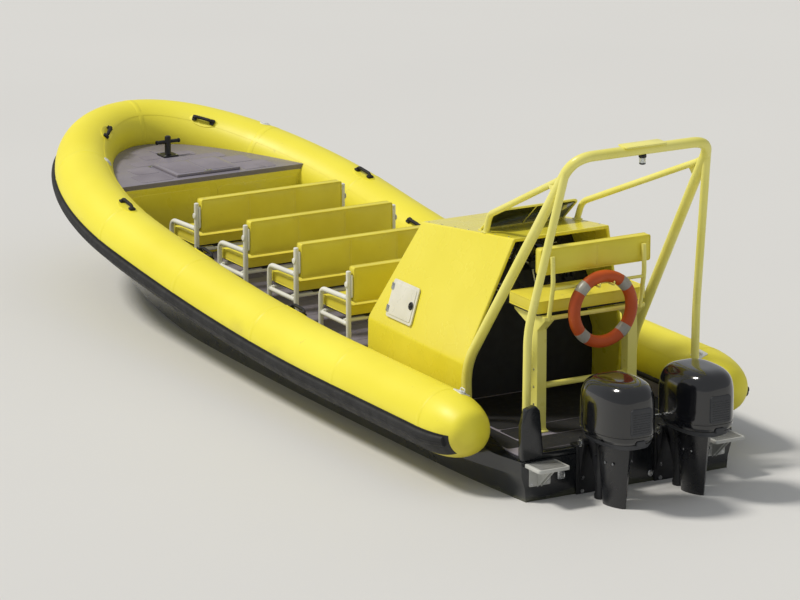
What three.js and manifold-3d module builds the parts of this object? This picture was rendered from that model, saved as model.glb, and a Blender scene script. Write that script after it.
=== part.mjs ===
// A rigid inflatable passenger boat: four bench rows, a helm console, an aft-raked arch and twin outboards.
// Millimetres: +X to the bow, +Y to port, +Z up.
// The origin is on the waterline, halfway along the tube collar.

import * as THREE from "three";
import { mergeVertices } from "three/addons/utils/BufferGeometryUtils.js";
import Module from "manifold-3d";

const wasm = await Module();
wasm.setup();

// Driving dimensions
const COLLAR_LENGTH = 7750;
const TUBE_RADIUS = 240;
const TUBE_HALF_BEAM = 1100;
const BOW_CURVE_START = 1325;
const TUBE_HEIGHT_STERN = 460;
const TUBE_RISE_TO_BOW = 640;
const STERN_CONE_LENGTH = 420;
const TRANSOM_X = -4160;
const TRANSOM_THICKNESS = 60;
const ENGINE_CUTOUT_TOP = 345;
const SOLE_Z = 300;
const SOLE_THICKNESS = 12;
const WALL = 25;
const FOREDECK_AFT_X = 2150;
const FOREDECK_Z = 960;
const BENCH_AFT_X = [1185, 365, -455, -1275];
const BENCH_HALF_WIDTH = 665;
const BENCH_DEPTH = 430;
const FRAME_TUBE = 20;
const HELM_BENCH_X = -3715;
const ARCH_TUBE = 38;
const MOTOR_SPACING = 330;
const MOTOR_TILT_AXIS = { x: -4200, z: 390 };
const STEER_AXIS_X = -4330;
const GAP = 0.3;

const COLLAR_HALF = COLLAR_LENGTH / 2;
const BOW_CURVE_LENGTH = COLLAR_HALF - TUBE_RADIUS - BOW_CURVE_START;
const FLOOR_Z = SOLE_Z + GAP + SOLE_THICKNESS + GAP;

const YELLOW = 0xf2dc14;
const BLACK = 0x1b1c1e;
const GREY = 0x8f8c92;
const WHITE = 0xd9dad6;

// Height of the tube's centre at a station, which rises along a power curve towards the bow.
function tubeHeight(x) {
  const riseStart = 0.25 * COLLAR_LENGTH - COLLAR_HALF;
  const along = THREE.MathUtils.clamp((x - riseStart) / (0.75 * COLLAR_LENGTH), 0, 1);
  return TUBE_HEIGHT_STERN + TUBE_RISE_TO_BOW * along ** 1.8;
}

// Points of the collar's centre line in plan, from the port stern round the bow to the starboard stern.
function collarPlan(bowSteps, sideSteps) {
  const port = [];
  for (let i = 0; i < sideSteps; i += 1) {
    const x = THREE.MathUtils.lerp(-COLLAR_HALF, BOW_CURVE_START, i / sideSteps);
    port.push(new THREE.Vector2(x, TUBE_HALF_BEAM));
  }
  for (let i = 0; i < bowSteps; i += 1) {
    const a = ((i / bowSteps) * Math.PI) / 2;
    const x = BOW_CURVE_START + BOW_CURVE_LENGTH * Math.sin(a);
    port.push(new THREE.Vector2(x, TUBE_HALF_BEAM * Math.cos(a)));
  }
  const starboard = port.map((p) => new THREE.Vector2(p.x, -p.y)).reverse();
  return [...port, new THREE.Vector2(BOW_CURVE_START + BOW_CURVE_LENGTH, 0), ...starboard];
}

// Unit vector that points out of the boat at a point of the centre line.
function outward(plan, i) {
  const before = plan[Math.max(0, i - 1)];
  const after = plan[Math.min(plan.length - 1, i + 1)];
  const run = after.clone().sub(before).normalize();
  return new THREE.Vector2(-run.y, run.x);
}

// The centre line moved inboard by a distance, as a plan outline that is square across the stern.
function insetPlan(distance, sternX) {
  const plan = collarPlan(10, 1);
  const points = plan.map((p, i) => p.clone().addScaledVector(outward(plan, i), -distance));
  const first = points[0];
  const last = points[points.length - 1];
  return [new THREE.Vector2(sternX, first.y), ...points.slice(1, -1), new THREE.Vector2(sternX, last.y)];
}

// Solids

function solidOf(geometry) {
  const bare = geometry.index ? geometry.toNonIndexed() : geometry.clone();
  bare.deleteAttribute("normal");
  bare.deleteAttribute("uv");
  const merged = mergeVertices(bare, 1e-3);
  const triVerts = new Uint32Array(merged.index.array);
  const vertProperties = merged.attributes.position.array;
  return new wasm.Manifold(new wasm.Mesh({ numProp: 3, vertProperties, triVerts }));
}

function geometryOf(solid) {
  const { vertProperties, triVerts } = solid.getMesh();
  const geometry = new THREE.BufferGeometry();
  geometry.setAttribute("position", new THREE.BufferAttribute(new Float32Array(vertProperties), 3));
  geometry.setIndex(new THREE.BufferAttribute(new Uint32Array(triVerts), 1));
  const flat = geometry.toNonIndexed();
  flat.computeVertexNormals();
  return flat;
}

function union(solids) {
  return solids.reduce((all, one) => all.add(one));
}

function box(x0, x1, y0, y1, z0, z1) {
  const geometry = new THREE.BoxGeometry(x1 - x0, y1 - y0, z1 - z0);
  geometry.translate((x0 + x1) / 2, (y0 + y1) / 2, (z0 + z1) / 2);
  return solidOf(geometry);
}

// A flat outline pushed along one axis: its points are (x, y) for z, (x, z) for y and (y, z) for x.
function prism(points, axis, from, to) {
  const shape = new THREE.Shape(points.map((p) => (p.isVector2 ? p : new THREE.Vector2(p[0], p[1]))));
  const geometry = new THREE.ExtrudeGeometry(shape, { depth: to - from, bevelEnabled: false });
  const turn = new THREE.Matrix4();
  if (axis === "z") {
    geometry.translate(0, 0, from);
  } else if (axis === "y") {
    geometry.translate(0, 0, -to);
    turn.makeBasis(new THREE.Vector3(1, 0, 0), new THREE.Vector3(0, 0, 1), new THREE.Vector3(0, -1, 0));
  } else {
    geometry.translate(0, 0, from);
    turn.makeBasis(new THREE.Vector3(0, 1, 0), new THREE.Vector3(0, 0, 1), new THREE.Vector3(1, 0, 0));
  }
  geometry.applyMatrix4(turn);
  return solidOf(geometry);
}

// Rings of equal count joined into one closed body, with a fan over each end, its faces turned outwards.
function loft(rings) {
  const count = rings[0].length;
  const positions = rings.flat().flatMap((p) => [p.x, p.y, p.z]);
  const faces = [];
  for (let r = 0; r + 1 < rings.length; r += 1) {
    for (let i = 0; i < count; i += 1) {
      const a = r * count + i;
      const b = r * count + ((i + 1) % count);
      faces.push(a, b, b + count, a, b + count, a + count);
    }
  }
  const end = (rings.length - 1) * count;
  for (let i = 1; i + 1 < count; i += 1) {
    faces.push(0, i + 1, i, end, end + i, end + i + 1);
  }
  const geometry = new THREE.BufferGeometry();
  geometry.setAttribute("position", new THREE.Float32BufferAttribute(positions, 3));
  geometry.setIndex(faces);
  const made = solidOf(geometry);
  if (made.volume() > 0) return made;
  geometry.setIndex(faces.reverse());
  return solidOf(geometry);
}

// A turned body about the x axis: its profile is distance from the axis, then distance aft.
function turned(profile, segments, x, z) {
  const geometry = new THREE.LatheGeometry(profile.map((p) => new THREE.Vector2(p[0], p[1])), segments);
  geometry.rotateZ(Math.PI / 2);
  geometry.translate(x, 0, z);
  return solidOf(geometry);
}

// A path through given points whose steps are its own points, so bends keep their shape.
class BentPath extends THREE.Curve {
  constructor(vertices) {
    super();
    this.vertices = vertices;
  }

  getPoint(t, target = new THREE.Vector3()) {
    const at = t * (this.vertices.length - 1);
    const i = Math.min(Math.floor(at), this.vertices.length - 2);
    return target.lerpVectors(this.vertices[i], this.vertices[i + 1], at - i);
  }

  getTangent(t, target = new THREE.Vector3()) {
    const i = Math.round(t * (this.vertices.length - 1));
    const here = this.vertices[i];
    target.set(0, 0, 0);
    if (i > 0) target.add(here.clone().sub(this.vertices[i - 1]).normalize());
    if (i + 1 < this.vertices.length) target.add(this.vertices[i + 1].clone().sub(here).normalize());
    return target.normalize();
  }

  getUtoTmapping(u) {
    return u;
  }
}

// A round tube along straight runs with rounded bends.
function tube(points, radius, bend = 0, sides = 8) {
  const corners = points.map((p) => new THREE.Vector3(...p));
  const vertices = [corners[0]];
  for (let i = 1; i + 1 < corners.length; i += 1) {
    const back = corners[i - 1].clone().sub(corners[i]);
    const on = corners[i + 1].clone().sub(corners[i]);
    const reach = Math.min(bend, back.length() * 0.45, on.length() * 0.45);
    const start = corners[i].clone().addScaledVector(back.normalize(), reach);
    const stop = corners[i].clone().addScaledVector(on.normalize(), reach);
    vertices.push(...new THREE.QuadraticBezierCurve3(start, corners[i], stop).getPoints(4));
  }
  vertices.push(corners[corners.length - 1]);
  const shape = new THREE.Shape();
  for (let i = 0; i < sides; i += 1) {
    const a = ((i + 0.5) / sides) * Math.PI * 2;
    const move = i === 0 ? "moveTo" : "lineTo";
    shape[move](radius * Math.cos(a), radius * Math.sin(a));
  }
  const steps = vertices.length - 1;
  const options = { steps, bevelEnabled: false, extrudePath: new BentPath(vertices) };
  return solidOf(new THREE.ExtrudeGeometry(shape, options));
}

function bothSides(solid) {
  return union([solid, solid.mirror([0, 1, 0])]);
}

function mesh(name, solid, color, roughness, metalness = 0) {
  const material = new THREE.MeshStandardMaterial({ color, roughness, metalness });
  const made = new THREE.Mesh(geometryOf(solid), material);
  made.name = name;
  return made;
}

// Collar

// Rings of a section round the collar: each section point is an angle from outboard and a distance out.
function collarRings(section, bowSteps, sideSteps, taper) {
  const plan = collarPlan(bowSteps, sideSteps);
  return plan.map((p, i) => {
    const out = outward(plan, i);
    const scale = taper(p.x);
    return section.map(([angle, distance]) => {
      const across = distance * scale * Math.cos(angle);
      const up = distance * scale * Math.sin(angle);
      return new THREE.Vector3(p.x + out.x * across, p.y + out.y * across, tubeHeight(p.x) + up);
    });
  });
}

function circleSection(radius, sides) {
  return Array.from({ length: sides }, (_, i) => [(i / sides) * Math.PI * 2, radius]);
}

// The tube narrows to a blunt cone over its last stretch at the stern.
function coneTaper(x) {
  const along = THREE.MathUtils.clamp((x + COLLAR_HALF) / STERN_CONE_LENGTH, 0, 1);
  return 0.3 + 0.7 * Math.sqrt(1 - (1 - along) ** 2);
}

function collarSolid(extra) {
  const rings = collarRings(circleSection(TUBE_RADIUS + extra, 20), 11, 26, coneTaper);
  return loft(rings);
}

// A rubber D-section band on the tube's outer side, a little below its middle.
function rubStrakeSolid() {
  const band = 0.19;
  const middle = -0.26;
  const face = TUBE_RADIUS + 1;
  const section = [
    [middle - band, face],
    [middle - band * 0.8, face + 26],
    [middle, face + 36],
    [middle + band * 0.8, face + 26],
    [middle + band, face],
    [middle, face],
  ];
  return loft(collarRings(section, 11, 26, coneTaper));
}

// Hull

// The V hull's stations: x, keel height, chine half-breadth, chine height, half-breadth under the tube.
const HULL_STATIONS = [
  { x: TRANSOM_X, keel: -430, chineY: 860, chineZ: -70, shelfY: 890 },
  { x: -3300, keel: -435, chineY: 875, chineZ: -65, shelfY: 1030 },
  { x: -2000, keel: -440, chineY: 880, chineZ: -55, shelfY: 1050 },
  { x: -500, keel: -440, chineY: 875, chineZ: -40, shelfY: 1050 },
  { x: 700, keel: -435, chineY: 855, chineZ: 0, shelfY: 1050 },
  { x: 1500, keel: -415, chineY: 815, chineZ: 60, shelfY: 1045 },
  { x: 2100, keel: -360, chineY: 745, chineZ: 140, shelfY: 985 },
  { x: 2600, keel: -250, chineY: 645, chineZ: 245, shelfY: 865 },
  { x: 3000, keel: -80, chineY: 510, chineZ: 370, shelfY: 690 },
  { x: 3300, keel: 160, chineY: 345, chineZ: 510, shelfY: 480 },
  { x: 3480, keel: 420, chineY: 190, chineZ: 640, shelfY: 280 },
  { x: 3570, keel: 680, chineY: 50, chineZ: 745, shelfY: 90 },
];

function hullTop(x) {
  const toStern = THREE.MathUtils.clamp((x + COLLAR_HALF) / 475, 0, 1);
  return Math.min(THREE.MathUtils.lerp(SOLE_Z, tubeHeight(x) - 40, toStern), FOREDECK_Z - 30 - GAP);
}

function hullBody() {
  const keel = new THREE.CatmullRomCurve3(
    HULL_STATIONS.map((s) => new THREE.Vector3(s.x, s.keel, 0)), false, "catmullrom", 0.5);
  const chine = new THREE.CatmullRomCurve3(
    HULL_STATIONS.map((s) => new THREE.Vector3(s.x, s.chineY, s.chineZ)), false, "catmullrom", 0.5);
  const shelf = new THREE.CatmullRomCurve3(
    HULL_STATIONS.map((s) => new THREE.Vector3(s.x, s.shelfY, 0)), false, "catmullrom", 0.5);
  const steps = (HULL_STATIONS.length - 1) * 2;
  const rings = [];
  for (let i = 0; i <= steps; i += 1) {
    const k = keel.getPoint(i / steps);
    const c = chine.getPoint(i / steps);
    const half = shelf.getPoint(i / steps).y;
    const shelfZ = tubeHeight(k.x) - TUBE_RADIUS - 30;
    const side = [
      [c.y, c.z],
      [half, Math.max(shelfZ, c.z + 10)],
      [half, Math.max(hullTop(k.x), c.z + 20)],
    ];
    const ring = [new THREE.Vector3(k.x, 0, k.y)];
    side.forEach(([y, z]) => ring.push(new THREE.Vector3(k.x, y, z)));
    [...side].reverse().forEach(([y, z]) => ring.push(new THREE.Vector3(k.x, -y, z)));
    rings.push(ring);
  }
  return loft(rings);
}

// The hull's inside: an open well down to the sole, which stops short of the bow.
const WELL_FORWARD_X = 2750;

function cockpitWell(inset, z0, z1, fromX, toX) {
  const plan = prism(insetPlan(TUBE_RADIUS + inset, TRANSOM_X - 200), "z", z0, z1);
  return plan.intersect(box(fromX, toX, -1200, 1200, z0 - 1, z1 + 1));
}

// A raised pad between the motors, for a ladder or bracket.
const STERN_PAD = { halfY: 80, z0: 110, z1: 270, proud: 8 };

function hullSolid(tubeCut) {
  const pad = box(TRANSOM_X - STERN_PAD.proud, TRANSOM_X + 1, -STERN_PAD.halfY, STERN_PAD.halfY,
    STERN_PAD.z0, STERN_PAD.z1);
  return hullBody()
    .add(pad)
    .subtract(tubeCut)
    .subtract(box(TRANSOM_X - 100, TRANSOM_X + TRANSOM_THICKNESS + GAP, -1200, 1200, SOLE_Z, 1500))
    .subtract(cockpitWell(WALL, SOLE_Z, 1500, TRANSOM_X - 100, WELL_FORWARD_X));
}

function soleSolid() {
  const z0 = SOLE_Z + GAP;
  const aft = TRANSOM_X + TRANSOM_THICKNESS + GAP;
  return cockpitWell(WALL + GAP, z0, z0 + SOLE_THICKNESS, aft, WELL_FORWARD_X - GAP);
}

// A panel across the stern, cut down in the middle for the motors.
function transomSolid() {
  const outline = [
    [-885, SOLE_Z + GAP],
    [885, SOLE_Z + GAP],
    [885, 560],
    [850, 680],
    [770, 700],
    [735, 660],
    [705, ENGINE_CUTOUT_TOP],
    [-705, ENGINE_CUTOUT_TOP],
    [-735, 660],
    [-770, 700],
    [-850, 680],
    [-885, 560],
  ];
  return prism(outline, "x", TRANSOM_X, TRANSOM_X + TRANSOM_THICKNESS);
}

// A small boarding step on the stern, outboard of the motors, with a gusset under it.
function sternStepSolid() {
  const plate = box(-210, -GAP, -130, 130, 262, 290);
  const gusset = prism([[-GAP, 100], [-GAP, 263], [-180, 263]], "y", -20, 20);
  return union([plate, gusset]);
}

// Foredeck: a deck plate between the tubes with a hatch opening, and the bulkhead at its aft edge.
const HATCH = { x0: 2260, x1: 2640, halfY: 260 };
const FORE_PAD = { x0: 3060, x1: 3180, halfY: 60, proud: 6 };

function foredeckSolid(tubeCut) {
  const plate = prism(insetPlan(TUBE_RADIUS - 60, 0), "z", FOREDECK_Z - 30, FOREDECK_Z)
    .intersect(box(FOREDECK_AFT_X, COLLAR_HALF, -1200, 1200, 0, 2000));
  const bulkhead = FOREDECK_AFT_X + 30;
  const low = cockpitWell(WALL + 1, FLOOR_Z, FOREDECK_Z - 29, FOREDECK_AFT_X, bulkhead);
  const high = cockpitWell(-60, hullTop(bulkhead) + 2, FOREDECK_Z - 29, FOREDECK_AFT_X, bulkhead);
  const opening = box(HATCH.x0, HATCH.x1, -HATCH.halfY, HATCH.halfY, FOREDECK_Z - 40, FOREDECK_Z + 10);
  const pad = box(FORE_PAD.x0, FORE_PAD.x1, -FORE_PAD.halfY, FORE_PAD.halfY,
    FOREDECK_Z - 1, FOREDECK_Z + FORE_PAD.proud);
  return union([plate, low, high]).subtract(tubeCut).subtract(opening).add(pad);
}

// The lid lies on the plate and overhangs the opening all round.
const LID = { overhang: 32, thickness: 24 };

function foredeckLidSolid() {
  const length = HATCH.x1 - HATCH.x0 + 2 * LID.overhang;
  const half = HATCH.halfY + LID.overhang;
  const plate = box(-length, 0, -half, half, 0, LID.thickness);
  const lip = box(-length + LID.overhang + 12, -LID.overhang - 12, -half + LID.overhang + 12,
    half - LID.overhang - 12, -22, 1);
  return union([plate, lip]);
}

function mooringPostSolid() {
  const base = box(-70, 70, -70, 70, 0, 12);
  const posts = tube([[0, 0, 8], [0, 0, 170]], 26, 0, 10);
  const bar = tube([[0, -110, 120], [0, 110, 120]], 15);
  return union([base, posts, bar]);
}

// Benches: one tubular frame, one seat cushion and one back cushion each, in the bench's own frame,
// whose origin is on the sole under the aft posts.
const BENCH = { postTop: 705, armZ: 475, railZ: 285, seatZ: 330, backTop: 735, backLow: 458 };

function benchFrameSolid() {
  const y = BENCH_HALF_WIDTH;
  const post = tube([[0, y, 4], [0, y, BENCH.postTop]], FRAME_TUBE);
  const arm = tube([[0, y, BENCH.armZ + 15], [BENCH_DEPTH, y, BENCH.armZ], [BENCH_DEPTH, y, 4]], FRAME_TUBE, 70);
  const rail = tube([[0, y, BENCH.railZ], [BENCH_DEPTH, y, BENCH.railZ]], FRAME_TUBE - 2);
  const feet = [0, BENCH_DEPTH].map((x) => box(x - 45, x + 45, y - 45, y + 45, 0, 8));
  const ear = box(-32, 32, y - 22, y - 10, BENCH.backLow + 40, BENCH.backTop - 60);
  const side = union([post, arm, rail, ...feet, ear]);
  const bars = [75, BENCH_DEPTH - 30].map((x) =>
    tube([[x, -y, BENCH.seatZ - 31], [x, y, BENCH.seatZ - 31]], FRAME_TUBE - 4, 0, 10));
  return union([bothSides(side), ...bars]);
}

// A cushion is a box with its long edges taken off.
function cushionSolid(x0, x1, halfY, z0, z1, chamfer) {
  const outline = [
    [x0 + chamfer, z0], [x1 - chamfer, z0], [x1, z0 + chamfer], [x1, z1 - chamfer],
    [x1 - chamfer, z1], [x0 + chamfer, z1], [x0, z1 - chamfer], [x0, z0 + chamfer],
  ];
  return prism(outline, "y", -halfY, halfY);
}

function benchSeatSolid() {
  return cushionSolid(55, BENCH_DEPTH + 30, BENCH_HALF_WIDTH - 28, BENCH.seatZ - 8, BENCH.seatZ + 92, 20);
}

function benchBackSolid() {
  return cushionSolid(-46, 46, BENCH_HALF_WIDTH - 24, BENCH.backLow, BENCH.backTop, 20);
}

function bench(row, x) {
  const group = new THREE.Group();
  group.position.set(x, 0, FLOOR_Z);
  group.add(
    mesh(`bench_frame_${row}`, benchFrameSolid(), WHITE, 0.35, 0.4),
    mesh(`bench_seat_${row}`, benchSeatSolid(), YELLOW, 0.55),
    mesh(`bench_back_${row}`, benchBackSolid(), YELLOW, 0.55),
  );
  return group;
}

// Console: a wedge of moulded shell, open to the helm, whose sides lean inboard above a knuckle.
const CONSOLE = { knuckleZ: 720, halfY: 690, lean: 0.3, wall: 30, roof: 1900 };
const CONSOLE_SIDE = [
  [-1600, FLOOR_Z], [-1610, 760], [-1995, 1530], [-3245, 1670], [-3010, 700], [-2960, FLOOR_Z],
];
const CONSOLE_INSIDE = [
  [-1630, 0], [-1641, 767], [-2015, 1502], [-3240, 1639], [-3500, 1600], [-3500, 0],
];

// Height of the console's sloping roof at a station.
function roofHeight(x) {
  const [, , fore, aft] = CONSOLE_SIDE;
  return THREE.MathUtils.mapLinear(x, fore[0], aft[0], fore[1], aft[1]);
}

function consoleHalf(z, inset) {
  return CONSOLE.halfY - inset - Math.max(0, z - CONSOLE.knuckleZ) * CONSOLE.lean;
}

// The space between the console's two leaning sides, pulled in by an inset.
function consoleHouse(inset) {
  const foot = consoleHalf(0, inset);
  const top = consoleHalf(CONSOLE.roof, inset);
  const outline = [
    [-foot, 0], [foot, 0], [foot, CONSOLE.knuckleZ], [top, CONSOLE.roof], [-top, CONSOLE.roof],
    [-foot, CONSOLE.knuckleZ],
  ];
  return prism(outline, "x", -4000, -1000);
}

// Side locker in the port side: x range, and height range measured up the leaning side from the knuckle.
const SIDE_LOCKER = { x0: -2200, x1: -1880, up0: 110, up1: 340, lap: 25, thickness: 18 };

function consoleSolid() {
  const shell = prism(CONSOLE_SIDE, "y", -900, 900).intersect(consoleHouse(0));
  const inside = prism(CONSOLE_INSIDE, "y", -900, 900).intersect(consoleHouse(CONSOLE.wall));
  const z0 = CONSOLE.knuckleZ + SIDE_LOCKER.up0;
  const z1 = CONSOLE.knuckleZ + SIDE_LOCKER.up1;
  const opening = box(SIDE_LOCKER.x0, SIDE_LOCKER.x1, 400, 900, z0, z1);
  return shell.subtract(inside).subtract(opening);
}

// A locker door that laps its opening on the leaning side, made flat and turned into place.
function sideLockerDoorSolid() {
  const length = SIDE_LOCKER.x1 - SIDE_LOCKER.x0 + 2 * SIDE_LOCKER.lap;
  const slope = Math.hypot(1, CONSOLE.lean);
  const height = (SIDE_LOCKER.up1 - SIDE_LOCKER.up0) * slope + 2 * SIDE_LOCKER.lap;
  const plate = box(-length, 0, 0, SIDE_LOCKER.thickness, 0, height);
  const latch = box(-length + 30, -length + 70, SIDE_LOCKER.thickness - 1, SIDE_LOCKER.thickness + 14,
    height / 2 - 30, height / 2 + 30);
  return union([plate, latch]);
}

function sideLockerDoor() {
  const door = mesh("side_locker_door", sideLockerDoorSolid(), WHITE, 0.5);
  const z = CONSOLE.knuckleZ + SIDE_LOCKER.up0 - SIDE_LOCKER.lap;
  const clearance = 3;
  const lean = Math.atan(CONSOLE.lean);
  const y = consoleHalf(z, 0);
  const offY = clearance * Math.cos(lean);
  const offZ = clearance * Math.sin(lean);
  door.position.set(SIDE_LOCKER.x1 + SIDE_LOCKER.lap, y + offY, z + offZ);
  door.rotation.x = lean;
  return door;
}

// The dash closes the shell: a kick panel, a shelf and a face that leans back towards the helm.
const DASH = [
  [-2600, FLOOR_Z], [-2600, 1020], [-2770, 1062], [-2636, 1555],
  [-2661, 1558], [-2800, 1050], [-2625, 1000], [-2625, FLOOR_Z],
];

function dashSolid() {
  return prism(DASH, "y", -900, 900).intersect(consoleHouse(CONSOLE.wall + 1));
}

// A short smoked screen in a frame, raked across the console's top ahead of the helm.
function windscreenSolid() {
  const fore = -2680;
  const thick = 18;
  const rake = 210;
  const rise = 195;
  const outline = [
    [fore, roofHeight(fore) + GAP],
    [fore - thick, roofHeight(fore - thick) + GAP],
    [fore - rake - thick, roofHeight(fore) + rise],
    [fore - rake, roofHeight(fore) + rise],
  ];
  return prism(outline, "y", -360, 360);
}

// Wheel: built about its own shaft, which is +Z here, and turned so that the shaft meets the dash.
const WHEEL = { x: -2850, z: 1335, tilt: THREE.MathUtils.degToRad(-75), radius: 180 };

function steeringWheelSolid() {
  const rim = new THREE.TorusGeometry(WHEEL.radius, 13, 8, 28);
  const parts = [solidOf(rim)];
  [60, 180, 300].forEach((degrees) => {
    const a = THREE.MathUtils.degToRad(degrees);
    const far = WHEEL.radius - 4;
    parts.push(tube([[0, 0, -22], [far * Math.cos(a), far * Math.sin(a), 0]], 11));
  });
  parts.push(tube([[0, 0, -117], [0, 0, 8]], 34, 0, 12));
  return union(parts);
}

function steeringWheel() {
  const wheel = mesh("steering_wheel", steeringWheelSolid(), BLACK, 0.6);
  wheel.position.set(WHEEL.x, 0, WHEEL.z);
  wheel.rotation.y = WHEEL.tilt;
  return wheel;
}

// Helm bench: two T-shaped side posts with a cross tube, a seat and a bar cushion behind it, on the sole.
const HELM = { halfY: 465, postY: 385, seatZ: 890, backLow: 1190, backTop: 1385, hookZ: 1092 };

function helmFrameSolid() {
  const head = HELM.seatZ - 12;
  const post = prism([
    [75, 0], [235, 0], [235, 10], [200, 24], [200, 760], [430, 850],
    [430, head], [10, head], [10, 850], [110, 760], [110, 24], [75, 10],
  ], "y", HELM.postY - 40, HELM.postY + 40);
  const stay = tube([[24, HELM.postY, 850], [-36, HELM.postY, 1120], [-24, HELM.postY, 1330]], 17, 60);
  const hook = tube([[-30, 60, HELM.hookZ], [-146, 60, HELM.hookZ], [-150, 60, HELM.hookZ + 26]], 6, 12);
  const hangBar = tube([[-30, -HELM.postY, HELM.hookZ], [-30, HELM.postY, HELM.hookZ]], 12);
  const cross = tube([[156, -HELM.postY, 330], [156, HELM.postY, 330]], 22);
  const seatBar = tube([[40, -HELM.postY, 860], [40, HELM.postY, 860]], 17);
  return union([bothSides(union([post, stay])), cross, seatBar, hangBar, bothSides(hook)]);
}

function helmBench() {
  const group = new THREE.Group();
  const seat = cushionSolid(60, 450, HELM.halfY, HELM.seatZ - 11, HELM.seatZ + 100, 22);
  const back = cushionSolid(-5, 85, HELM.halfY, HELM.backLow, HELM.backTop, 22);
  group.position.set(HELM_BENCH_X, 0, FLOOR_Z);
  group.add(
    mesh("helm_seat_frame", helmFrameSolid(), YELLOW, 0.5),
    mesh("helm_seat_cushion", seat, YELLOW, 0.55),
    mesh("helm_back_cushion", back, YELLOW, 0.55),
  );
  return group;
}

// Lifebuoy: a ring that hangs behind the helm bench, its hole facing aft.
function lifebuoy() {
  const ring = mesh("lifebuoy", solidOf(new THREE.TorusGeometry(242, 44, 10, 28)), 0xd9531e, 0.6);
  ring.position.set(HELM_BENCH_X - 92, 0, 1225);
  ring.rotation.y = Math.PI / 2;
  return ring;
}

// Arch: one hoop over the stern, raked aft, with two aft legs and two rails down to the console's top.
function archSolid() {
  const floor = FLOOR_Z + 8;
  const corner = [-4305, 575, 2500];
  const foreFoot = [-3100, 706, floor];
  const foreKnee = [-3085, 710, 730];
  const other = ([x, y, z]) => [x, -y, z];
  const line = [foreFoot, foreKnee, corner, other(corner), other(foreKnee), other(foreFoot)];
  const hoop = tube(line, ARCH_TUBE, 170, 10);
  const aftLeg = tube([[-4235, 588, 2400], [-3940, 712, 1180], [-3925, 712, floor]], ARCH_TUBE - 8, 120);
  const rail = tube([[-4180, 590, 2330], [-2885, 395, 1770], [-2830, 390, 1636]], ARCH_TUBE - 14, 60);
  const feet = [foreFoot[0], -3925].map((x) => box(x - 46, x + 46, 662, 750, floor - 8, floor + 2));
  const cap = box(-4370, -4240, -170, 170, 2532, 2544);
  return union([hoop, bothSides(union([aftLeg, rail, ...feet])), cap]);
}

// Outboard motors, in a frame whose origin is on the boat's centre plane: y is from the motor's own middle.
const TILT = MOTOR_TILT_AXIS;
const EAR = { y0: 77, y1: 97, radius: 45 };

function clampBracketSolid() {
  const plate = box(TRANSOM_X - 18, TRANSOM_X - GAP, -110, 110, -20, ENGINE_CUTOUT_TOP);
  const hook = box(TRANSOM_X - 18, TRANSOM_X + 75, -110, 110,
    ENGINE_CUTOUT_TOP + GAP, ENGINE_CUTOUT_TOP + 20);
  const neck = box(TRANSOM_X - 18, TRANSOM_X - GAP, -110, 110, ENGINE_CUTOUT_TOP - 1, ENGINE_CUTOUT_TOP + 20);
  const outline = [[TRANSOM_X - 17, 60], [TRANSOM_X - 17, ENGINE_CUTOUT_TOP + 10]];
  for (let i = 0; i <= 6; i += 1) {
    const a = THREE.MathUtils.degToRad(70 + 22 * i);
    outline.push([TILT.x + EAR.radius * Math.cos(a), TILT.z + EAR.radius * Math.sin(a)]);
  }
  const ear = prism(outline, "y", EAR.y0, EAR.y1);
  return union([plate, hook, neck, bothSides(ear)]);
}

function swivelBracketSolid() {
  const barrel = tube([[TILT.x, -71, TILT.z], [TILT.x, 71, TILT.z]], 28, 0, 14);
  const housing = tube([[STEER_AXIS_X, 0, 0], [STEER_AXIS_X, 0, 434]], 50, 0, 14);
  const link = prism([
    [STEER_AXIS_X, 60], [STEER_AXIS_X, 420], [TILT.x, 420], [TILT.x + 10, 365], [STEER_AXIS_X + 70, 250],
  ], "y", -38, 38);
  return union([barrel, housing, link]);
}

// The leg's sections: height, leading edge, trailing edge, half-thickness.
const LEG_SECTIONS = [
  { z: 474, lead: -4402, trail: -4700, half: 118 },
  { z: 300, lead: -4406, trail: -4680, half: 96 },
  { z: 20, lead: -4412, trail: -4650, half: 66 },
  { z: -270, lead: -4404, trail: -4640, half: 44 },
  { z: -300, lead: -4400, trail: -4590, half: 30 },
  { z: -500, lead: -4400, trail: -4570, half: 20 },
];
const SHAFT_Z = -490;
const POD_NOSE_X = -4275;
const POD_LENGTH = 330;

// A pointed-oval section: lead and trail on the middle, with its full thickness a third of the way back.
function bladeRing({ z, lead, trail, half }) {
  const chord = lead - trail;
  const shape = [[0, 0], [0.06, 0.62], [0.3, 1], [0.7, 0.85], [0.97, 0.35], [1, 0]];
  const port = shape.map(([u, v]) => new THREE.Vector3(lead - u * chord, v * half, z));
  const starboard = port.slice(1, -1).reverse().map((p) => new THREE.Vector3(p.x, -p.y, z));
  return [...port, ...starboard];
}

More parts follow.
